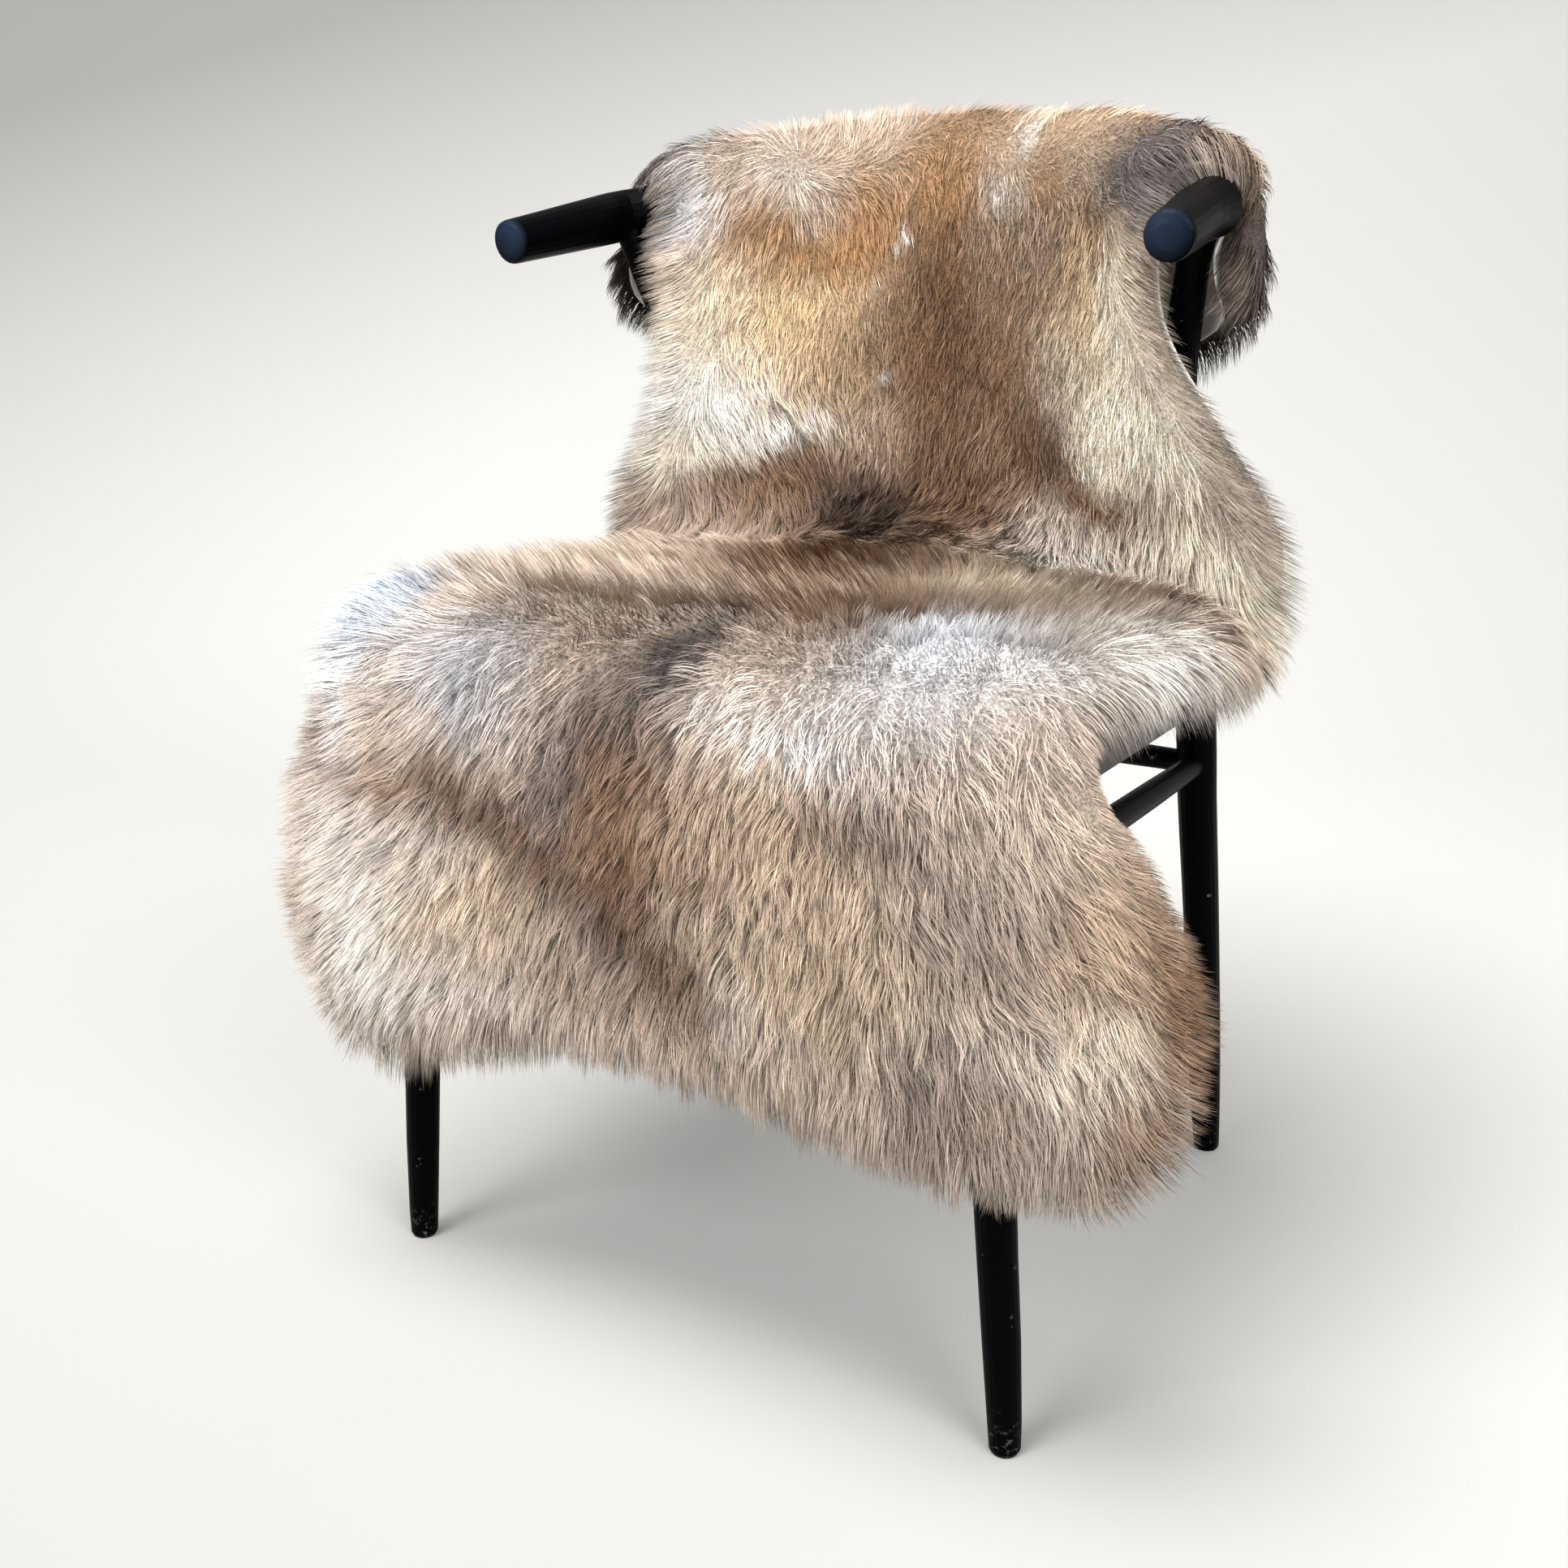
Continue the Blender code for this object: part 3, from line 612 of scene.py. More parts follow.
set_values(tree, surface, Base_Color=(tone, 2), Normal=(relief, 0))

hide_rows = int(PELT_LENGTH / HIDE_STEP)
across, along = pelt_grid(hide_rows, HIDE_ACROSS)
flesh = flesh_points(across.ravel(), along.ravel()).reshape(*across.shape, 3)
_, _, outward = pelt_axes(across.ravel(), along.ravel())
outward = outward.reshape(flesh.shape)
points, faces = closed_grid(flesh + outward * HIDE_THICKNESS, flesh)
hide = mesh_piece("tanned_hide", points, faces, suede)
hide_width = float(max(sum(half_widths(along[:, 0]))))
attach(hide, "root")
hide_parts("sheepskin")


# Coat colours. Patches that lie on the pelt one over the other, each a soft oval with its
# place, half sizes and turn measured on the pelt in centimetres and degrees. The fleece is
# cream and tan with a brown spine, and smoky where the front legs were. Its bluish patches
# are painted light: the window's blue light painted on pale fur.
CREAM = (0.90, 0.81, 0.66)
WHITE = (0.94, 0.92, 0.88)
# Painted light: the window's blue light on pale fur, bright and dimmer
PAINTED_BLUE_LIGHT_BRIGHT = (0.92, 0.95, 0.99)
PAINTED_BLUE_LIGHT_DIM = (0.36, 0.42, 0.50)
PALE = (0.52, 0.465, 0.410)
SAND = (0.50, 0.415, 0.340)
HONEY = (0.64, 0.450, 0.250)
GOLD = (0.37, 0.280, 0.190)
TAN = (0.40, 0.275, 0.170)
AMBER = (0.35, 0.185, 0.080)
BEIGE = (0.42, 0.330, 0.262)
BROWN = (0.165, 0.086, 0.042)
UMBER = (0.095, 0.048, 0.026)
DARK = (0.024, 0.012, 0.009)
SMOKE = (0.095, 0.082, 0.083)
CHARCOAL = (0.062, 0.050, 0.050)
SOOT = (0.016, 0.013, 0.013)
COAT_BASE = BEIGE

Patch = namedtuple("Patch", "across along wide long turn colour strength")
PATCHES = [Patch(*row) for row in (
    # rump and hem
    (-17, 3, 10, 3.6, 0, PALE, 0.85),
    (-12.5, 7.6, 6.5, 3.0, 0, HONEY, 0.32),
    (-22, 6.5, 3.0, 5.5, 0, WHITE, 0.40),
    (-17, 10.5, 6, 2.8, 0, PALE, 0.60),
    (-23, 11, 4, 4, 0, PALE, 0.60),
    (-19.5, 14.8, 5.5, 1.3, -8, BROWN, 0.90),
    (-11.5, 13.4, 4.8, 1.9, -16, UMBER, 0.85),
    (-5, 11.2, 4.8, 3.0, -32, UMBER, 0.85),
    (0.6, 9.0, 3.2, 4.2, -25, DARK, 0.82),
    (4.8, 5.4, 4.8, 2.6, -30, UMBER, 0.85),
    (-3, 3.4, 6, 1.6, -6, BROWN, 0.40),
    (11, 8.5, 5, 4.5, 0, GOLD, 0.75),
    (9.0, 4.0, 2.2, 2.2, 0, PALE, 0.60),
    (9.5, 13.0, 4.5, 4.0, 0, SAND, 0.70),
    (17.5, 6.5, 6, 4.0, 0, GOLD, 0.75),
    (16.8, 15.0, 3.8, 2.4, -14, SMOKE, 0.80),
    (24.5, 11.5, 3.0, 4.5, 0, SMOKE, 0.40),
    (30, 11, 4, 6, 0, TAN, 0.50),
    (34, 7, 2.4, 7, 0, BROWN, 0.85),
    (25, 2.5, 6, 3.4, 0, PALE, 0.70),
    (30, 4.5, 2.5, 2.0, 0, CREAM, 0.35),
    (31.5, 1.0, 3.2, 2.4, 0, BROWN, 0.55),
    (23.0, 2.0, 4.5, 2.4, 0, BROWN, 0.60),
    (21, 2.0, 2.4, 2.4, 0, SMOKE, 0.45),
    (12, 1.5, 6, 2.5, 0, BEIGE, 0.55),
    # loin, over the seat's front edge
    (-23, 23.5, 4.6, 4.5, 0, PAINTED_BLUE_LIGHT_DIM, 0.95),
    (-19, 18, 4.5, 2.6, 0, BEIGE, 0.80),
    (-22.5, 19.0, 1.8, 3.5, 0, PAINTED_BLUE_LIGHT_BRIGHT, 0.35),
    (-12, 20.5, 5, 2.8, 0, PAINTED_BLUE_LIGHT_DIM, 0.50),
    (3.0, 22.2, 3.0, 2.6, 10, CHARCOAL, 0.95),
    (0.0, 18.6, 4.4, 2.6, -14, CHARCOAL, 0.70),
    (-2.0, 15.6, 3.6, 2.6, 0, SMOKE, 0.85),
    (3.6, 13.4, 5.4, 3.8, -20, BROWN, 0.62),
    (0.8, 14.0, 3.4, 4.6, -5, BROWN, 0.60),
    (12, 14.5, 6, 4.0, 0, TAN, 0.55),
    (12.0, 19.6, 5, 1.6, -6, PAINTED_BLUE_LIGHT_BRIGHT, 0.42),
    (9.5, 22.5, 3, 2.6, 0, SAND, 0.70),
    (18.8, 26.4, 5.4, 4.6, 0, PAINTED_BLUE_LIGHT_BRIGHT, 0.97),
    (26.5, 17.0, 3.0, 4, 0, SAND, 0.50),
    # seat
    (-14, 34, 9, 7, 0, SAND, 0.85),
    (-6, 28.5, 9, 2.6, 0, PALE, 0.70),
    (7, 30.5, 8, 2.8, 0, BROWN, 0.60),
    (-18, 45, 6, 8, 0, SAND, 0.80),
    (-2, 40, 5.5, 8, -12, BROWN, 0.60),
    (-8, 48, 7, 5, 0, BROWN, 0.75),
    (9, 37, 4.5, 7, 0, SAND, 0.80),
    (17, 38, 4.5, 8, 0, PALE, 0.60),
    (25, 36, 4.6, 9, 0, WHITE, 0.65),
    (27, 55, 4, 4.5, 0, SAND, 0.80),
    (13, 47, 8, 8.0, 0, PALE, 0.90),
    (12, 45, 6, 5.0, 0, CREAM, 0.55),
    # back
    (0, 74, 14, 12, 0, TAN, 0.60),
    (-17.5, 69.0, 5.5, 5, 0, WHITE, 0.97),
    (-11.8, 65.6, 4.2, 1.1, 20, WHITE, 0.95),
    (-16, 74, 5.5, 4.2, 0, CREAM, 0.90),
    (-12.0, 75.5, 6.5, 4.6, 0, HONEY, 0.90),
    (-11, 71, 3.6, 4.2, 0, HONEY, 0.60),
    (-6.5, 71.5, 3.4, 5, 0, BROWN, 0.50),
    (0, 72, 3.8, 13, 0, BROWN, 0.88),
    (7, 71, 6.0, 9.5, 0, BROWN, 0.85),
    (2.5, 72.0, 2.6, 8.0, 6, UMBER, 0.60),
    (3.0, 81, 1.8, 5.0, 0, BROWN, 0.80),
    (10.5, 66, 2.4, 2.6, 0, UMBER, 0.75),
    (18.5, 69, 4.8, 5.5, 0, CREAM, 0.97),
    (21, 66.5, 5, 3.6, 0, CREAM, 0.90),
    (17.0, 77, 3.8, 5.0, 0, HONEY, 0.80),
    (19.2, 76, 2.4, 4.4, 0, CREAM, 0.85),
    (12.5, 79.5, 2.5, 4.5, 0, BROWN, 0.45),
    # crease and low back
    (-20, 64.5, 4, 2.2, 0, CREAM, 0.85),
    (-6, 56.5, 8.5, 4.5, 0, BROWN, 0.85),
    (4, 60.5, 8, 3.0, 0, BROWN, 0.85),
    (-12, 61.8, 8, 2.6, 0, BROWN, 0.90),
    (18.5, 63.0, 7.5, 1.7, -8, BROWN, 0.98),
    (13.0, 65.0, 3.0, 2.2, -30, UMBER, 0.70),
    (-4.5, 59.0, 5.5, 4.2, 0, DARK, 0.92),
    (2.0, 62.5, 5.0, 2.6, 0, UMBER, 0.60),
    (16, 57.0, 6, 3.4, -14, PALE, 0.95),
    (26.5, 60.0, 5.5, 3.2, -10, CREAM, 0.90),
    # crest
    (-13.5, 80.4, 5.4, 2.0, -6, AMBER, 0.85),
    (-10.5, 83.6, 4.0, 1.5, -20, PALE, 0.85),
    (-5.5, 81.0, 3.8, 3.6, 0, AMBER, 0.95),
    (-9, 79.0, 3.6, 1.2, 0, AMBER, 0.75),
    (-7, 87.0, 12, 2.0, 0, BEIGE, 0.85),
    (12, 87.2, 8, 1.8, 0, TAN, 0.80),
    (1.0, 84.5, 3.4, 3.6, 0, AMBER, 0.90),
    (6.8, 83, 1.8, 1.2, 0, PALE, 0.80),
    (12, 83.5, 3.0, 1.8, 0, AMBER, 0.55),
    (17.0, 81.5, 1.6, 3.0, 0, BROWN, 0.65),
    (-19.6, 83.2, 1.8, 3.4, 0, PAINTED_BLUE_LIGHT_BRIGHT, 0.55),
    (-20.6, 84.0, 1.4, 4.0, 0, SMOKE, 0.65),
    (21.4, 85.6, 3.4, 3.6, 0, SMOKE, 0.97),
    (18.6, 86.2, 1.4, 2.0, 0, SMOKE, 0.60),
    # behind the bow: shoulders, neck and front legs
    (0, 96, 16, 8, 0, TAN, 0.80),
    (0, 97, 4, 9, 0, BROWN, 0.85),
    (20.5, 96, 5, 9, 0, CHARCOAL, 0.95),
    (19.5, 90.0, 4.5, 1.8, 0, TAN, 0.85),
    (-20, 88.5, 4, 2.0, 0, SMOKE, 0.75),
    (-19.5, 97, 5.5, 8.0, 0, SOOT, 0.98),
    (0, 104, 14, 2.5, 0, SMOKE, 0.60),
)]
FLECKS = [
    Patch(-2.2, 79.3, 0.7, 0.35, 25, WHITE, 0.90),
    Patch(-4.6, 77.2, 1.3, 0.25, 25, PALE, 0.70),
    Patch(-3.8, 69.9, 0.7, 0.3, 10, WHITE, 0.75),
    Patch(8.0, 86.0, 1.2, 0.4, -20, WHITE, 0.60),
]
COLOUR_WANDER = 0.011
COLOUR_WANDER_SIZE = 0.035
PATCH_POWER = 1.3
PATCH_FALL = 0.8


def soft_noise(x, y, size, seed):
    """Smooth noise from -1 to 1 over a plane, with features of about the given size."""
    lattice = np.random.default_rng(seed).uniform(-1.0, 1.0, (64, 64))
    u, v = np.asarray(x) / size + 400.0, np.asarray(y) / size + 400.0
    i, j = np.floor(u).astype(int), np.floor(v).astype(int)
    s, t = u - i, v - j
    s, t = s * s * (3 - 2 * s), t * t * (3 - 2 * t)
    a, b = lattice[i % 64, j % 64], lattice[(i + 1) % 64, j % 64]
    c, d = lattice[i % 64, (j + 1) % 64], lattice[(i + 1) % 64, (j + 1) % 64]
    return (a * (1 - s) + b * s) * (1 - t) + (c * (1 - s) + d * s) * t


def coat_colour(across, along):
    """The coat's colour at places on the pelt."""
    across = across + COLOUR_WANDER * soft_noise(across, along, COLOUR_WANDER_SIZE, seed=11)
    along = along + COLOUR_WANDER * soft_noise(across, along, COLOUR_WANDER_SIZE, seed=12)
    colour = np.tile(np.array(COAT_BASE), (len(across), 1))
    for patch in PATCHES + FLECKS:
        lean = math.radians(patch.turn)
        x = across * 100 - patch.across
        y = along * 100 - patch.along
        u = (x * math.cos(lean) + y * math.sin(lean)) / patch.wide
        v = (y * math.cos(lean) - x * math.sin(lean)) / patch.long
        near = patch.strength * np.exp(-((u**2 + v**2) ** PATCH_POWER) * PATCH_FALL)
        colour += (np.array(patch.colour) - colour) * near[:, None]
    return colour


def paint_coat(mesh, colours):
    """Paint a mesh's points with a row of colours, for its finish to read."""
    painted = mesh.color_attributes.new("coat", "FLOAT_COLOR", "POINT")
    solid = np.column_stack([colours, np.ones(len(colours))])
    painted.data.foreach_set("color", solid.astype(np.float32).ravel())


# Combing. The way the coat lies, its length and how it gathers, at places on the pelt in
# centimetres. Lengths are in millimetres, and lifts are degrees off the skin at root and tip.
Combing = namedtuple("Combing", "across along to_side to_neck length lift_root lift_tip wave gather fringe")
COMBINGS = [Combing(*row) for row in (
    (-18, 4, -0.45, -0.9, 24, 52, 24, 0.23, 0.31, 14),
    (-5, 5, -0.10, -1.0, 24, 47, 12, 0.18, 0.31, 8),
    (12, 5, 0.10, -1.0, 25, 47, 12, 0.24, 0.27, 7),
    (27, 3, 0.30, -0.9, 27, 45, 10, 0.45, 0.32, 7),
    (31, 10, 0.7, -0.8, 26, 45, 10, 0.36, 0.34, -8),
    (-22, 13, -0.8, -0.6, 26, 62, 42, 0.23, 0.28, 6),
    (-8, 14, -0.2, -1.0, 21, 53, 18, 0.20, 0.24, 8),
    (10, 14, 0.15, -1.0, 22, 53, 16, 0.24, 0.27, 8),
    (22, 14, 0.5, -0.8, 24, 47, 12, 0.36, 0.34, -13),
    (-20, 22, -0.7, -0.5, 22, 55, 28, 0.32, 0.27, 12),
    (-6, 21, 0.25, -0.9, 22, 61, 34, 0.50, 0.37, 8),
    (6, 21, -0.2, -0.9, 22, 61, 34, 0.50, 0.37, 8),
    (16, 23, 0.5, -0.7, 24, 57, 30, 0.41, 0.31, 2),
    (-16, 35, -0.6, -0.5, 24, 66, 42, 0.28, 0.42, 14),
    (0, 38, -0.6, -0.6, 26, 66, 40, 0.28, 0.50, 8),
    (16, 36, 0.7, -0.5, 26, 66, 40, 0.30, 0.48, 8),
    (27, 38, 0.9, -0.3, 24, 52, 20, 0.23, 0.25, 4),
    (0, 52, -0.4, -0.7, 26, 70, 48, 0.24, 0.46, 8),
    (-20, 55, -0.6, -0.5, 24, 60, 36, 0.22, 0.35, 14),
    (24, 56, 0.7, -0.5, 27, 56, 28, 0.22, 0.35, 6),
    (-16, 66, 0.55, -0.8, 22, 44, 10, 0.14, 0.40, 12),
    (0, 66, 0.15, -1.0, 13, 54, 24, 0.05, 0.12, 8),
    (18, 68, 0.5, -0.85, 13, 50, 18, 0.07, 0.14, 11),
    (-15, 76, -0.2, -1.0, 13, 52, 22, 0.05, 0.12, 12),
    (0, 77, 0.1, -1.0, 12, 52, 24, 0.05, 0.12, 8),
    (15, 77, 0.2, -1.0, 13, 52, 22, 0.05, 0.12, 9),
    (-19, 83, -0.9, -0.5, 22, 36, 2, 0.23, 0.35, 16),
    (-8, 83, 0.4, -0.7, 16, 44, 12, 0.18, 0.30, 8),
    (8, 83, 0.2, -0.7, 14, 44, 14, 0.09, 0.20, 8),
    (20, 84, 0.9, -0.2, 20, 38, 4, 0.23, 0.35, 32),
    (-8, 88, -0.2, 0.9, 18, 50, 16, 0.14, 0.30, 8),
    (10, 88, 0.2, 0.9, 16, 42, 6, 0.14, 0.30, 8),
    (0, 97, 0.05, 1.0, 24, 50, 12, 0.23, 0.40, 8),
    (-19, 97, -0.4, 0.9, 26, 46, 8, 0.36, 0.55, 8),
    (20, 97, 0.4, 0.9, 26, 46, 8, 0.36, 0.55, 6),
    (0, 103, 0.0, 1.0, 24, 48, 8, 0.27, 0.50, 4),
    (0, 58, 0.1, -0.8, 24, 76, 60, 0.16, 0.34, 8),
    (24, 62, 0.5, -0.85, 23, 46, 12, 0.12, 0.16, 6),
    (14, 47, 0.8, -0.5, 27, 64, 40, 0.26, 0.48, 8),
)]
COMB_REACH = 0.055


def combed(across, along):
    """How the coat is combed at places on the pelt, a column for each of a combing's values."""
    total = np.zeros(len(across))
    sums = np.zeros((len(across), 8))
    for row in COMBINGS:
        away = ((across - row.across / 100) ** 2 + (along - row.along / 100) ** 2) / COMB_REACH**2
        near = np.exp(-away) + 1e-6 / (1 + away)
        total += near
        sums += near[:, None] * np.array(row[2:])
    return sums / total[:, None]


# Underwool. The dense short wool in which the long hair stands, one soft lumpy layer on the
# hide that thins out towards its edge.
WOOL_GAP = 0.48
ROOT_DEPTH = 0.85
WOOL_INSET = 0.004
WOOL_STEP = 0.0075
WOOL_ACROSS = 69
WOOL_CLEARANCE = 0.0003
WOOL_LEAST = 0.0005
WOOL_EDGE = 0.011
# Painted shade: the underwool's colour is the coat's, darkened by this gain as the shade under the long
# hair
WOOL_PAINTED_SHADE = 0.58
FOLD_ALONG = 0.572
FOLD_SPREAD = 0.034
FOLD_THINNING = 0.30
FOLD_HALF_WIDTH = 0.20
FOLD_SIDE_FADE = 0.06
CRUMB_HEIGHT = 0.0012
CRUMB_SIZE = 0.012
LUMP_HEIGHT = 0.0035
LUMP_WAVES = [(41.0, 23.0, 0.4), (-29.0, 47.0, 1.9), (67.0, 61.0, 3.1)]


def distance_to_edge(across, along):
    """How far places lie from the pelt's nearest side, and from its nearest end."""
    left, right = half_widths(along)
    to_side = np.where(across < 0, left + across, right - across)
    return np.maximum(to_side, 0.0), np.minimum(along, PELT_LENGTH - along)


def wool_height(across, along):
    """How high the underwool stands off the flesh side."""
    to_side, to_end = distance_to_edge(across, along)
    inner = np.clip(np.minimum(to_side, to_end) / WOOL_EDGE, 0.0, 1.0)
    inner = inner * (2 - inner)
    lumps = sum(np.sin(a * across + b * along + c) for a, b, c in LUMP_WAVES)
    height = pelt_rows(along)["pile"] - WOOL_GAP * combed(across, along)[:, 2] / 1000
    height = height + LUMP_HEIGHT * lumps / len(LUMP_WAVES)
    height = height + CRUMB_HEIGHT * soft_noise(across, along, CRUMB_SIZE, seed=21)
    inside = np.clip((FOLD_HALF_WIDTH - np.abs(across)) / FOLD_SIDE_FADE, 0, 1)
    in_fold = inside * np.exp(-(((along - FOLD_ALONG) / FOLD_SPREAD) ** 2))
    height = height * (1 - FOLD_THINNING * in_fold)
    return HIDE_THICKNESS + WOOL_CLEARANCE + WOOL_LEAST + (height - HIDE_THICKNESS) * inner


# Uneven shade: a noise that takes the painted colour from its darkest to its lightest gain
uneven_shade, given, result = new_group("uneven_shade", {
    "Colour": None, "Scale": 520.0, "Detail": 4.0, "Roughness": 0.7,
    "Low": 0.35, "High": 0.68, "Darkest": 0.35, "Lightest": 1.25,
}, ("Colour", "Height"))
place = (add_node(uneven_shade, "TexCoord"), "Object")
noise = add_node(
    uneven_shade, "TexNoise", Vector=place, Scale=(given, "Scale"),
    Detail=(given, "Detail"), Roughness=(given, "Roughness"),
)
gain = add_node(
    uneven_shade, "MapRange", Value=(noise, "Fac"),
    From_Min=(given, "Low"), From_Max=(given, "High"),
    To_Min=(given, "Darkest"), To_Max=(given, "Lightest"),
)
shaded = add_node(
    uneven_shade, "VectorMath", operation="SCALE", input_0=(given, "Colour"), Scale=(gain, 0)
)
set_values(uneven_shade, result, Colour=(shaded, 0), Height=(noise, "Fac"))

wool_finish, tree, surface = new_finish("underwool", Roughness=0.95, Specular_IOR_Level=0.1)
dyed = add_node(tree, "VertexColor", layer_name="coat")
crimp = add_node(tree, "Group", node_tree=uneven_shade, Colour=(dyed, "Color"))
relief = add_node(tree, "Bump", Strength=0.8, Distance=0.0015, Height=(crimp, "Height"))
set_values(tree, surface, Base_Color=(crimp, "Colour"), Normal=(relief, 0))

wool_rows = int(PELT_LENGTH / WOOL_STEP)
across, along = pelt_grid(wool_rows, WOOL_ACROSS, inset=WOOL_INSET)
flat_across, flat_along = across.ravel(), along.ravel()
flesh = flesh_points(flat_across, flat_along)
_, _, outward = pelt_axes(flat_across, flat_along)
tops = flesh + outward * wool_height(flat_across, flat_along)[:, None]
feet = flesh + outward * (HIDE_THICKNESS + WOOL_CLEARANCE)
points, faces = closed_grid(tops.reshape(*across.shape, 3), feet.reshape(*across.shape, 3))
underwool = mesh_piece("underwool", points, faces, wool_finish)
# Painted shade: the coat's colours, darkened under the long hair
shades = coat_colour(flat_across, flat_along) * WOOL_PAINTED_SHADE
paint_coat(underwool.data, np.vstack([shades, shades]))
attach(underwool, "root")


# Long hair. Each hair is a narrow tapered blade rooted in the underwool. Hairs lean as the
# pelt was combed, gather into small tufts and these into locks, wave where they are long, and
# hang over the edges as a fringe. The coat is made in fields, from the hem to the neck.
LOCK_SPACING = 0.0115
TUFT_SPACING = 0.0040
LOCK_STRAY = 0.0035
TUFT_STRAY = 0.0020

# At the pelt's edge: how far in the hair turns outwards, how strongly, and how flat it lies
EDGE_TURN = 0.020
EDGE_PULL = 1.2
EDGE_ROOT_FLATTENING = 0.75
EDGE_TIP_FLATTENING = 1.2
EDGE_LOOSENING = 0.55
EDGE_FACING = 0.6
FLESH_CURL = 0.85
FLESH_CURL_START = 0.80
FLESH_CURL_FADE = 0.03
FLESH_CURL_GROWTH = 1.6
HANGING_TURN_LOSS = 0.75
HANGING_CURL_LOSS = 0.6

# Along a hair: the wave's turns and size, how far the tip hangs, and where its colour is read
WAVE_TURNS = 5.2
WAVE_SIZE = 0.55
WAVE_AT_ROOT = 0.35
TIP_LIFT_SHARE = 0.6
STEEP_DROOP = 0.30
STEEP_DROOP_INSIDE = 0.4
EDGE_DROOP = 0.8
TIP_REACH = 0.7

# Spacing and width are in metres, and sections are the lengths that a hair is made of
RIM_FIELD_DEPTH = 0.009
Field = namedtuple("Field", "name start end spacing sections width side")
FIELDS = [
    Field("hair_rump_left", 0.0, 0.235, 0.00185, 4, 0.00064, "left"),
    Field("hair_rump_right", 0.0, 0.235, 0.00185, 4, 0.00064, "right"),
    Field("hair_seat", 0.235, 0.585, 0.00224, 3, 0.00085, "both"),
    Field("hair_back", 0.585, 0.880, 0.00185, 3, 0.00068, "both"),
    Field("hair_shoulders", 0.880, PELT_LENGTH, 0.00200, 4, 0.00085, "both"),
    Field("hair_rim", 0.0, PELT_LENGTH, 0.00140, 4, 0.00054, "rim"),
]


def strand_paths(across, along, traits, knots):
    """Middle lines of hairs rooted at places on the pelt.

    traits gives each hair's own turn, length share, lift change, wave phase and wave share.
    """
    comb = combed(across, along)
    to_side, to_neck, outward = pelt_axes(across, along)
    side_gap, end_gap = distance_to_edge(across, along)
    way = comb[:, :2] / np.maximum(np.linalg.norm(comb[:, :2], axis=1), 1e-6)[:, None]
    spin_cos, spin_sin = np.cos(traits["turn"]), np.sin(traits["turn"])
    side_part = way[:, 0] * spin_cos - way[:, 1] * spin_sin
    neck_part = way[:, 0] * spin_sin + way[:, 1] * spin_cos
    by_side = np.exp(-((side_gap / EDGE_TURN) ** 2))
    by_end = np.exp(-((end_gap / EDGE_TURN) ** 2))
    hanging = roll_share(along)
    outwards = by_side * (1 - HANGING_TURN_LOSS * hanging)
    side_part = side_part * (1 - by_end) * (1 - outwards) + EDGE_PULL * outwards * np.sign(across)
    toward_end = np.where(along > PELT_LENGTH / 2, 1.0, -1.0)
    neck_part = neck_part * (1 - outwards) + EDGE_PULL * by_end * toward_end
    edge = np.maximum(by_side, by_end)
    size = np.maximum(np.hypot(side_part, neck_part), 1e-6)
    side_part, neck_part = side_part / size, neck_part / size
    lie = to_side * side_part[:, None] + to_neck * neck_part[:, None]
    past_start = np.clip((along - FLESH_CURL_START) / FLESH_CURL_FADE, 0, 1)
    curl = FLESH_CURL * edge * past_start * (1 - HANGING_CURL_LOSS * hanging)
    cross = np.cross(outward, lie)
    at_edge = pelt_rows(along)["lock"] * 1000 + comb[:, 7]
    length = (comb[:, 2] + (at_edge - comb[:, 2]) * edge) / 1000 * traits["length"]
    root_degrees = comb[:, 3] * (1 - EDGE_ROOT_FLATTENING * edge) + traits["lift"]
    tip_degrees = comb[:, 4] * (1 - EDGE_TIP_FLATTENING * edge) + traits["lift"] * TIP_LIFT_SHARE
    lift_root = np.radians(root_degrees)
    lift_tip = np.radians(tip_degrees)
    wave = comb[:, 5] * traits["wave"]
    root = flesh_points(across, along) + outward * (wool_height(across, along) * ROOT_DEPTH)[:, None]
    paths = np.zeros((len(across), knots, 3))
    here = root
    paths[:, 0] = here
    for k in range(1, knots):
        t = (k - 0.5) / (knots - 1)
        lift = lift_root + (lift_tip - lift_root) * t
        step = outward * np.sin(lift)[:, None] + lie * np.cos(lift)[:, None]
        step = step - outward * (curl * t * FLESH_CURL_GROWTH)[:, None]
        growth = WAVE_AT_ROOT + (1 - WAVE_AT_ROOT) * t
        swing = wave * np.cos(traits["phase"] + WAVE_TURNS * t) * growth * WAVE_SIZE
        step = unit(step + cross * swing[:, None])
        steep = 1 - np.clip(outward[:, 2], 0, 1)
        share = STEEP_DROOP_INSIDE + (1 - STEEP_DROOP_INSIDE) * edge
        step[:, 2] -= STEEP_DROOP * t * steep * share + EDGE_DROOP * t * edge * (1 - steep)
        here = here + unit(step) * (length / (knots - 1))[:, None]
        paths[:, k] = here
    turned = EDGE_FACING * edge
    facing = unit(outward * (1 - turned)[:, None] + lie * turned[:, None])
    tip_across = across + side_part * length * TIP_REACH
    tip_along = along + neck_part * length * TIP_REACH
    gather = comb[:, 6] * (1 - EDGE_LOOSENING * edge)
    return paths, facing, cross, gather, tip_across, tip_along


# The grid of gathering spots reaches past the pelt by these sizes
SPOTS_HALF_WIDTH = 0.40
SPOTS_MARGIN = 0.05
SPOTS_JITTER = (0.08, 0.92)


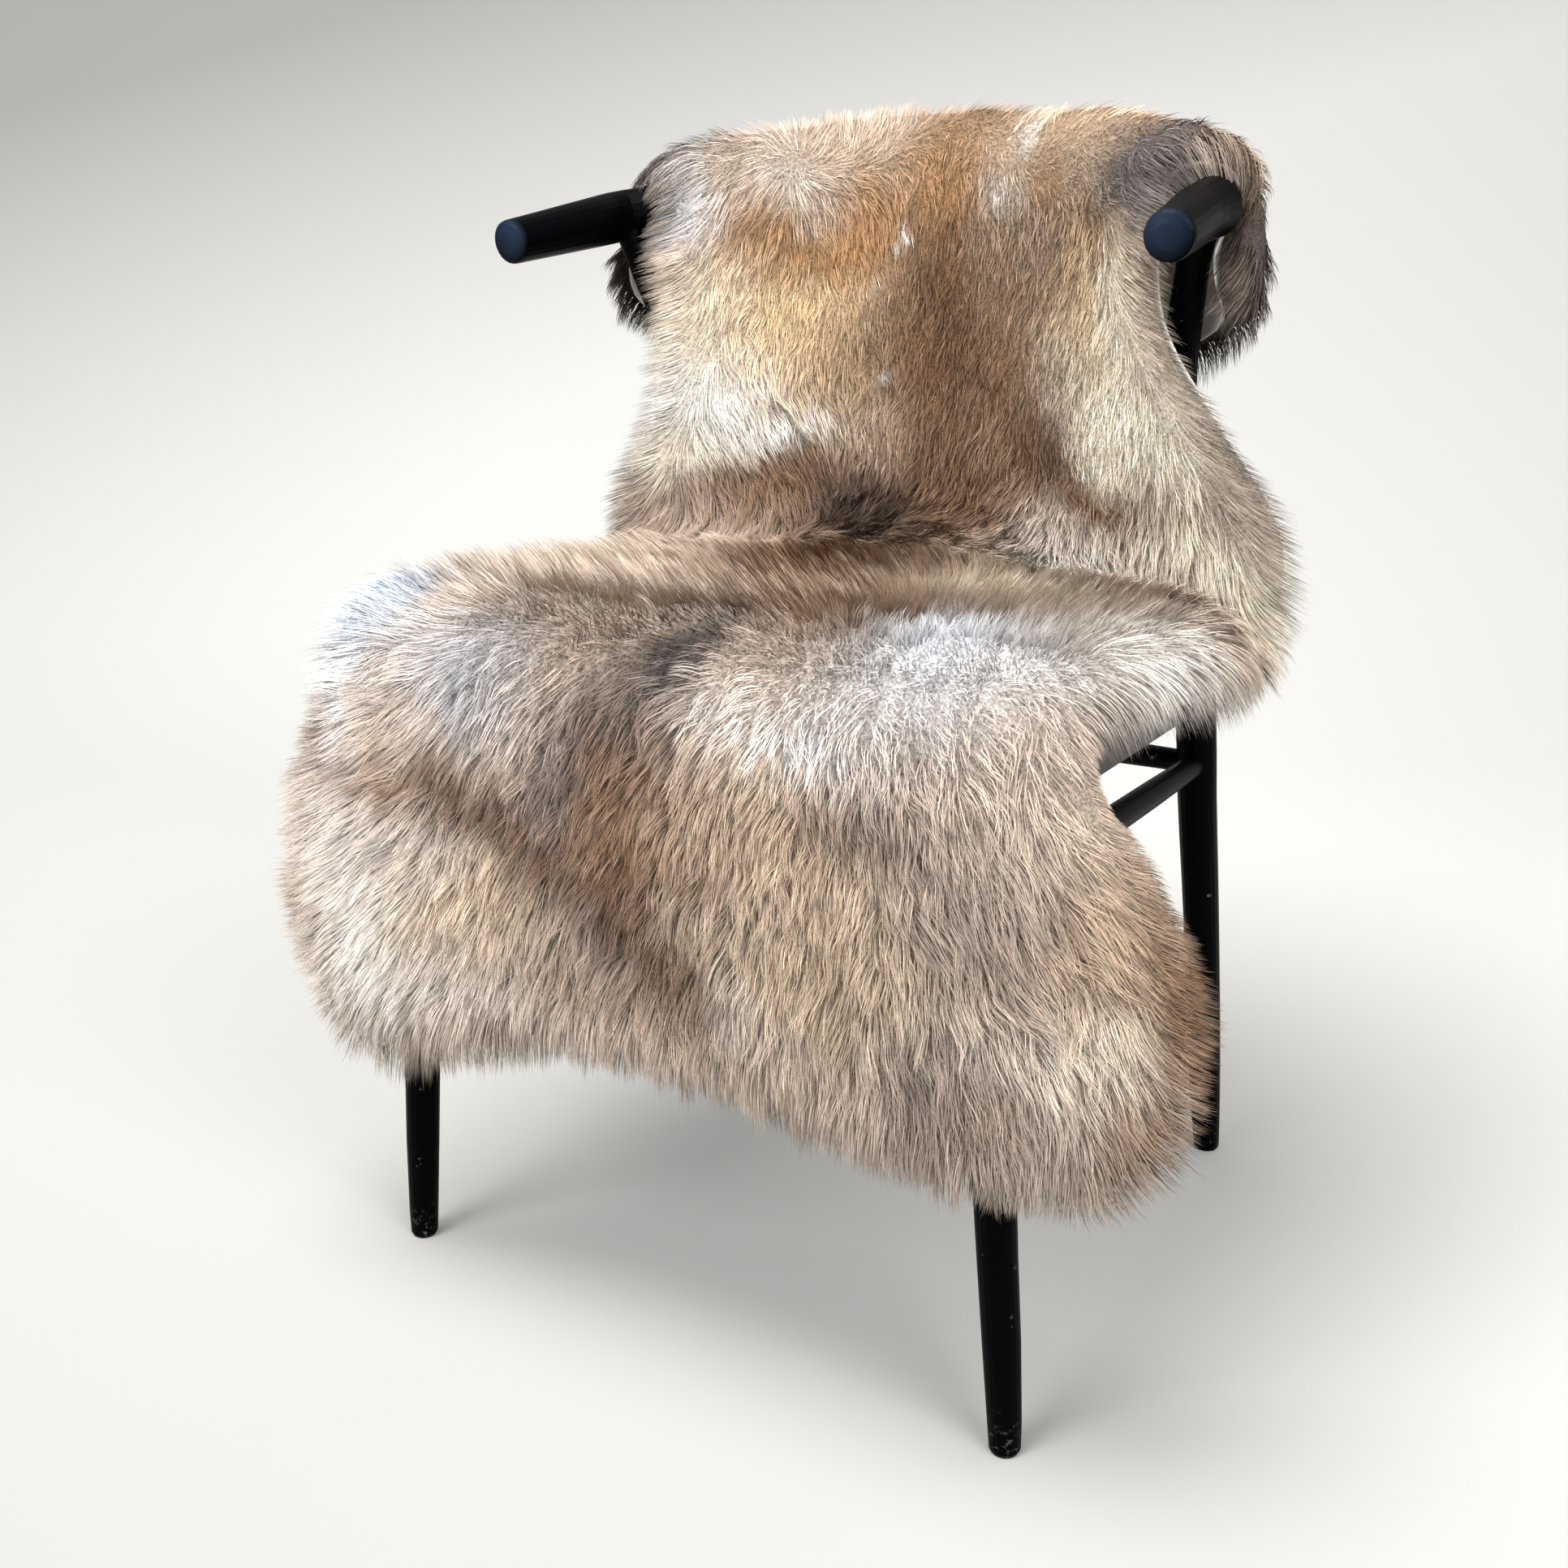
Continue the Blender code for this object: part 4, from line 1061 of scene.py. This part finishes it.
def gather_spots(spacing, seed):
    """Spots that gather the hairs near them, one in each square of a jittered grid."""
    maker = np.random.default_rng(seed)
    columns = int(2 * SPOTS_HALF_WIDTH / spacing) + 3
    rows = int((PELT_LENGTH + 2 * SPOTS_MARGIN) / spacing) + 3
    jitter = maker.uniform(*SPOTS_JITTER, (columns, rows, 2))
    i, j = np.meshgrid(np.arange(columns), np.arange(rows), indexing="ij")
    across = (i + jitter[:, :, 0]) * spacing - SPOTS_HALF_WIDTH
    along = (j + jitter[:, :, 1]) * spacing - SPOTS_MARGIN
    return across, along


def nearest_spot(across, along, spots, spacing):
    """The number of the spot that each place is nearest to."""
    spot_across, spot_along = spots
    columns, rows = spot_across.shape
    i = np.clip(((across + SPOTS_HALF_WIDTH) / spacing).astype(int), 1, columns - 2)
    j = np.clip(((along + SPOTS_MARGIN) / spacing).astype(int), 1, rows - 2)
    best = np.full(len(across), 1e9)
    chosen = np.zeros(len(across), int)
    for di in (-1, 0, 1):
        for dj in (-1, 0, 1):
            away = (spot_across[i + di, j + dj] - across) ** 2
            away = away + (spot_along[i + di, j + dj] - along) ** 2
            closer = away < best
            best = np.where(closer, away, best)
            chosen = np.where(closer, (i + di) * rows + j + dj, chosen)
    return chosen


def spot_traits(count, seed, turn, length, lift, wave):
    """Each spot's own turn, length, lift, wave, shade and stray, spread by the given amounts."""
    maker = np.random.default_rng(seed)
    return {
        "turn": maker.normal(0.0, turn, count),
        "length": np.clip(maker.normal(1.0, length, count), 0.55, 1.5),
        "lift": maker.normal(0.0, lift, count),
        "phase": maker.uniform(0.0, 2 * math.pi, count),
        "wave": np.clip(maker.normal(1.0, wave, count), 0.1, 2.0),
        "shade": maker.normal(0.0, 1.0, count),
        "stray": maker.normal(0.0, 1.0, (count, 2)),
    }


lock_spots = gather_spots(LOCK_SPACING, seed=31)
tuft_spots = gather_spots(TUFT_SPACING, seed=32)
lock_traits = spot_traits(
    lock_spots[0].size, seed=33, turn=0.26, length=0.07, lift=5.0, wave=0.35
)
tuft_traits = spot_traits(
    tuft_spots[0].size, seed=34, turn=0.16, length=0.06, lift=4.0, wave=0.25
)

# The two rump fields meet at the parting; roots keep their margin from the pelt's edge
PARTING = 0.03
END_MARGIN = 0.0005
ROOT_MARGIN = 0.0006


def scatter_roots(field, maker):
    """Evenly strewn places for a field's hairs, over its rows or only near the pelt's edge."""
    across, along = [], []
    for row in np.arange(field.start, field.end, field.spacing):
        left, right = half_widths(np.array([min(max(row, END_MARGIN), PELT_LENGTH - END_MARGIN)]))
        low = -left[0] if field.side != "right" else PARTING
        high = right[0] if field.side != "left" else PARTING
        count = int((high - low) / field.spacing)
        across.append(low + (np.arange(count) + maker.uniform(0, 1, count)) / count * (high - low))
        along.append(row + maker.uniform(0, field.spacing, count))
    along = np.clip(np.concatenate(along), ROOT_MARGIN, PELT_LENGTH - ROOT_MARGIN)
    left, right = half_widths(along)
    across = np.clip(np.concatenate(across), -left + ROOT_MARGIN, right - ROOT_MARGIN)
    if field.side == "rim":
        side_gap, end_gap = distance_to_edge(across, along)
        near = np.minimum(side_gap, end_gap) < RIM_FIELD_DEPTH
        across, along = across[near], along[near]
    return across, along


# Fine glossy hair in the colours painted on it, uneven along and across the coat
long_hair, tree, surface = new_finish("long_hair", Roughness=0.55, Specular_IOR_Level=0.14)
dyed = add_node(tree, "VertexColor", layer_name="coat")
uneven = add_node(
    tree, "Group", node_tree=uneven_shade, Colour=(dyed, "Color"), Scale=260.0, Detail=2.0,
    Roughness=0.5, Low=0.3, High=0.7, Darkest=0.86, Lightest=1.14,
)
set_values(tree, surface, Base_Color=(uneven, "Colour"))

TIP_WIDTH_SHARE = 0.35
# Shares of the blade's, the coat's and the hair's own direction in the normals that light reads
NORMAL_BLADE = 0.45
NORMAL_COAT = 0.75
NORMAL_ALONG = 0.10
# Each hair's cell of the surface map: the empty margin before it and the part that it fills
CELL_MARGIN = 0.15
CELL_FILL = 0.7


def along_blades(left, right, tip):
    """Values for the blades' corners: left and right of each knot in turn, then the tip."""
    sides = np.stack([left, right], axis=2).reshape(len(left), -1, left.shape[2])
    return np.concatenate([sides, tip[:, None]], axis=1)


def hair_mesh(name, paths, outward, cross, widths, colours, twist, material):
    """Joined blades along the paths; each ends in a point. colours has one row a knot."""
    count, knots = paths.shape[:2]
    tangents = unit(np.gradient(paths, axis=1))
    flat_way = unit(cross)[:, None, :] * np.cos(twist)[:, None, None]
    flat_way = flat_way + outward[:, None, :] * np.sin(twist)[:, None, None]
    flat_way = unit(flat_way - tangents * (flat_way * tangents).sum(axis=2, keepdims=True))
    blade_normal = unit(np.cross(tangents, flat_way))
    flip = np.sign((blade_normal * outward[:, None, :]).sum(axis=2, keepdims=True) + 1e-6)
    flat_way = flat_way * flip
    blade_normal = blade_normal * flip
    taper = np.linspace(1.0, TIP_WIDTH_SHARE, knots - 1)
    half = widths[:, None] * taper[None, :] / 2
    stems = paths[:, :-1]
    to_edge = flat_way[:, :-1] * half[:, :, None]
    points = along_blades(stems - to_edge, stems + to_edge, paths[:, -1])
    shades = along_blades(colours[:, :-1], colours[:, :-1], colours[:, -1])
    each = points.shape[1]
    one = []
    for k in range(knots - 2):
        a = 2 * k
        one += [(a, a + 3, a + 1), (a, a + 2, a + 3)]
    one.append((each - 3, each - 1, each - 2))
    one = np.array(one)
    corners = (np.arange(count)[:, None, None] * each + one[None]).reshape(-1, 3)
    mesh = bpy.data.meshes.new(name)
    mesh.vertices.add(count * each)
    mesh.vertices.foreach_set("co", points.astype(np.float32).ravel())
    mesh.loops.add(corners.size)
    mesh.loops.foreach_set("vertex_index", corners.astype(np.int32).ravel())
    mesh.polygons.add(len(corners))
    mesh.polygons.foreach_set("loop_start", np.arange(0, corners.size, 3, dtype=np.int32))
    mesh.update(calc_edges=True)
    mesh.materials.append(material)
    mesh.shade_smooth()
    paint_coat(mesh, shades.reshape(-1, 3))

    # Each hair has its own cell of the surface map, root at the left and tip at the right
    cells = int(math.ceil(math.sqrt(count)))
    number = np.arange(count)
    corner_u = (number % cells + CELL_MARGIN) / cells
    corner_v = (number // cells + CELL_MARGIN) / cells
    run = np.append(np.repeat(np.linspace(0.0, CELL_FILL, knots)[:-1], 2), CELL_FILL)
    rise = np.append(np.tile([0.0, CELL_FILL], knots - 1), CELL_FILL / 2)
    u = corner_u[:, None] + run[None] / cells
    v = corner_v[:, None] + rise[None] / cells
    flat_map = np.stack([u, v], axis=2).reshape(-1, 2)
    layer = mesh.uv_layers.new(name="OFBake")
    layer.data.foreach_set("uv", flat_map[corners.ravel()].astype(np.float32).ravel())

    # Light falls on the coat as a whole more than on single blades
    leaning = blade_normal * NORMAL_BLADE + outward[:, None, :] * NORMAL_COAT
    leaning = unit(leaning + tangents * NORMAL_ALONG)
    normals = along_blades(leaning[:, :-1], leaning[:, :-1], leaning[:, -1])
    mesh.normals_split_custom_set_from_vertices(normals.reshape(-1, 3))
    return in_scene(name, mesh)


# How much single hairs differ in turn, length, lift and width, and how they gather
HAIR_TURN = 0.10
HAIR_LENGTH = 0.10
HAIR_LIFT = 5.0
HAIR_WIDTH = 0.18
HAIR_TWIST = 0.85
TUFT_PHASE = 0.25
LOCK_PULL = 0.5
GATHER_POWER = 1.3

# How much the shade of locks, tufts and hairs differs, and the few pale and the few dusky hairs
LOCK_SHADE = 0.09
TUFT_SHADE = 0.12
HAIR_SHADE = 0.12
SHADE_RANGE = (0.45, 1.7)
FROST_SHARE = 0.08
FROST_GAIN = 1.35
FROST_ADD = 0.07
DUSK_SHARE = 0.10
DUSK_GAIN = 0.62
# Painted shade: hairs near the pelt's edge are darkened by this share, as the shade under the rim
RIM_PAINTED_SHADE = 0.60
RIM_PAINTED_SHADE_REACH = 0.0055
# Painted shade: a hair's colour is darkened towards its root, as the shade deep in the coat, and lightens
# towards its pale tip
ROOT_SHADOW_GAIN = 0.50
TIP_GAIN = 0.60
TIP_GAIN_POWER = 0.7
DARKEST = 0.008
LIGHTEST = 0.93


def hair_field(field, seed):
    """One field of the coat, with its hairs gathered into tufts and locks."""
    maker = np.random.default_rng(seed)
    across, along = scatter_roots(field, maker)
    count = len(across)
    knots = field.sections + 1
    lock = nearest_spot(across, along, lock_spots, LOCK_SPACING)
    tuft = nearest_spot(across, along, tuft_spots, TUFT_SPACING)
    traits = {
        "turn": lock_traits["turn"][lock] + tuft_traits["turn"][tuft]
        + maker.normal(0, HAIR_TURN, count),
        "length": lock_traits["length"][lock] * tuft_traits["length"][tuft]
        * np.clip(maker.normal(1.0, HAIR_LENGTH, count), 0.6, 1.3),
        "lift": lock_traits["lift"][lock] + tuft_traits["lift"][tuft]
        + maker.normal(0, HAIR_LIFT, count),
        "phase": lock_traits["phase"][lock] + TUFT_PHASE * tuft_traits["phase"][tuft],
        "wave": lock_traits["wave"][lock],
    }
    paths, facing, cross, gather, tip_across, tip_along = strand_paths(across, along, traits, knots)

    # Tips draw together towards the middle of their tuft, and those towards their lock
    progress = np.linspace(0.0, 1.0, knots) ** GATHER_POWER
    for chosen, pull in ((tuft, gather), (lock, gather * LOCK_PULL)):
        order = np.argsort(chosen, kind="stable")
        sorted_spots = chosen[order]
        starts = np.concatenate([[0], np.nonzero(np.diff(sorted_spots))[0] + 1])
        sizes = np.diff(np.append(starts, count))
        means = np.add.reduceat(paths[order], starts, axis=0) / sizes[:, None, None]
        middles = np.zeros_like(paths)
        middles[order] = np.repeat(means, sizes, axis=0)
        paths = paths + (middles - paths) * (pull[:, None] * progress[None, :])[:, :, None]

    stray = LOCK_STRAY * lock_traits["stray"][lock] + TUFT_STRAY * tuft_traits["stray"][tuft]
    colour = coat_colour(tip_across + stray[:, 0], tip_along + stray[:, 1])
    shade = 1 + LOCK_SHADE * lock_traits["shade"][lock] + TUFT_SHADE * tuft_traits["shade"][tuft]
    shade = shade + maker.normal(0, HAIR_SHADE, count)
    colour = colour * np.clip(shade, *SHADE_RANGE)[:, None]
    frost = maker.uniform(0, 1, count) < FROST_SHARE
    light_hair = np.minimum(colour * FROST_GAIN + FROST_ADD, LIGHTEST)
    colour = np.where(frost[:, None], light_hair, colour)
    dusk = maker.uniform(0, 1, count) < DUSK_SHARE
    colour = np.where(dusk[:, None], colour * DUSK_GAIN, colour)
    # Painted shade: darken the hairs near the pelt's edge, as the shade under the rim
    side_gap, end_gap = distance_to_edge(across, along)
    rim = np.exp(-((np.minimum(side_gap, end_gap) / RIM_PAINTED_SHADE_REACH) ** 2))
    colour = colour * (1 - RIM_PAINTED_SHADE * rim)[:, None]
    # Painted shade: darker towards the root, lighter towards the tip
    root_shadow_ramp = ROOT_SHADOW_GAIN + TIP_GAIN * np.linspace(0.0, 1.0, knots) ** TIP_GAIN_POWER
    colours = np.clip(colour[:, None, :] * root_shadow_ramp[None, :, None], DARKEST, LIGHTEST)
    widths = field.width * np.clip(maker.normal(1.0, HAIR_WIDTH, count), 0.5, 1.6)
    twist = maker.uniform(-HAIR_TWIST, HAIR_TWIST, count)
    piece = hair_mesh(field.name, paths, facing, cross, widths, colours, twist, long_hair)
    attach(piece, "root")
    return piece


FIRST_FIELD_SEED = 50
hair_pieces = [hair_field(field, FIRST_FIELD_SEED + i) for i, field in enumerate(FIELDS)]
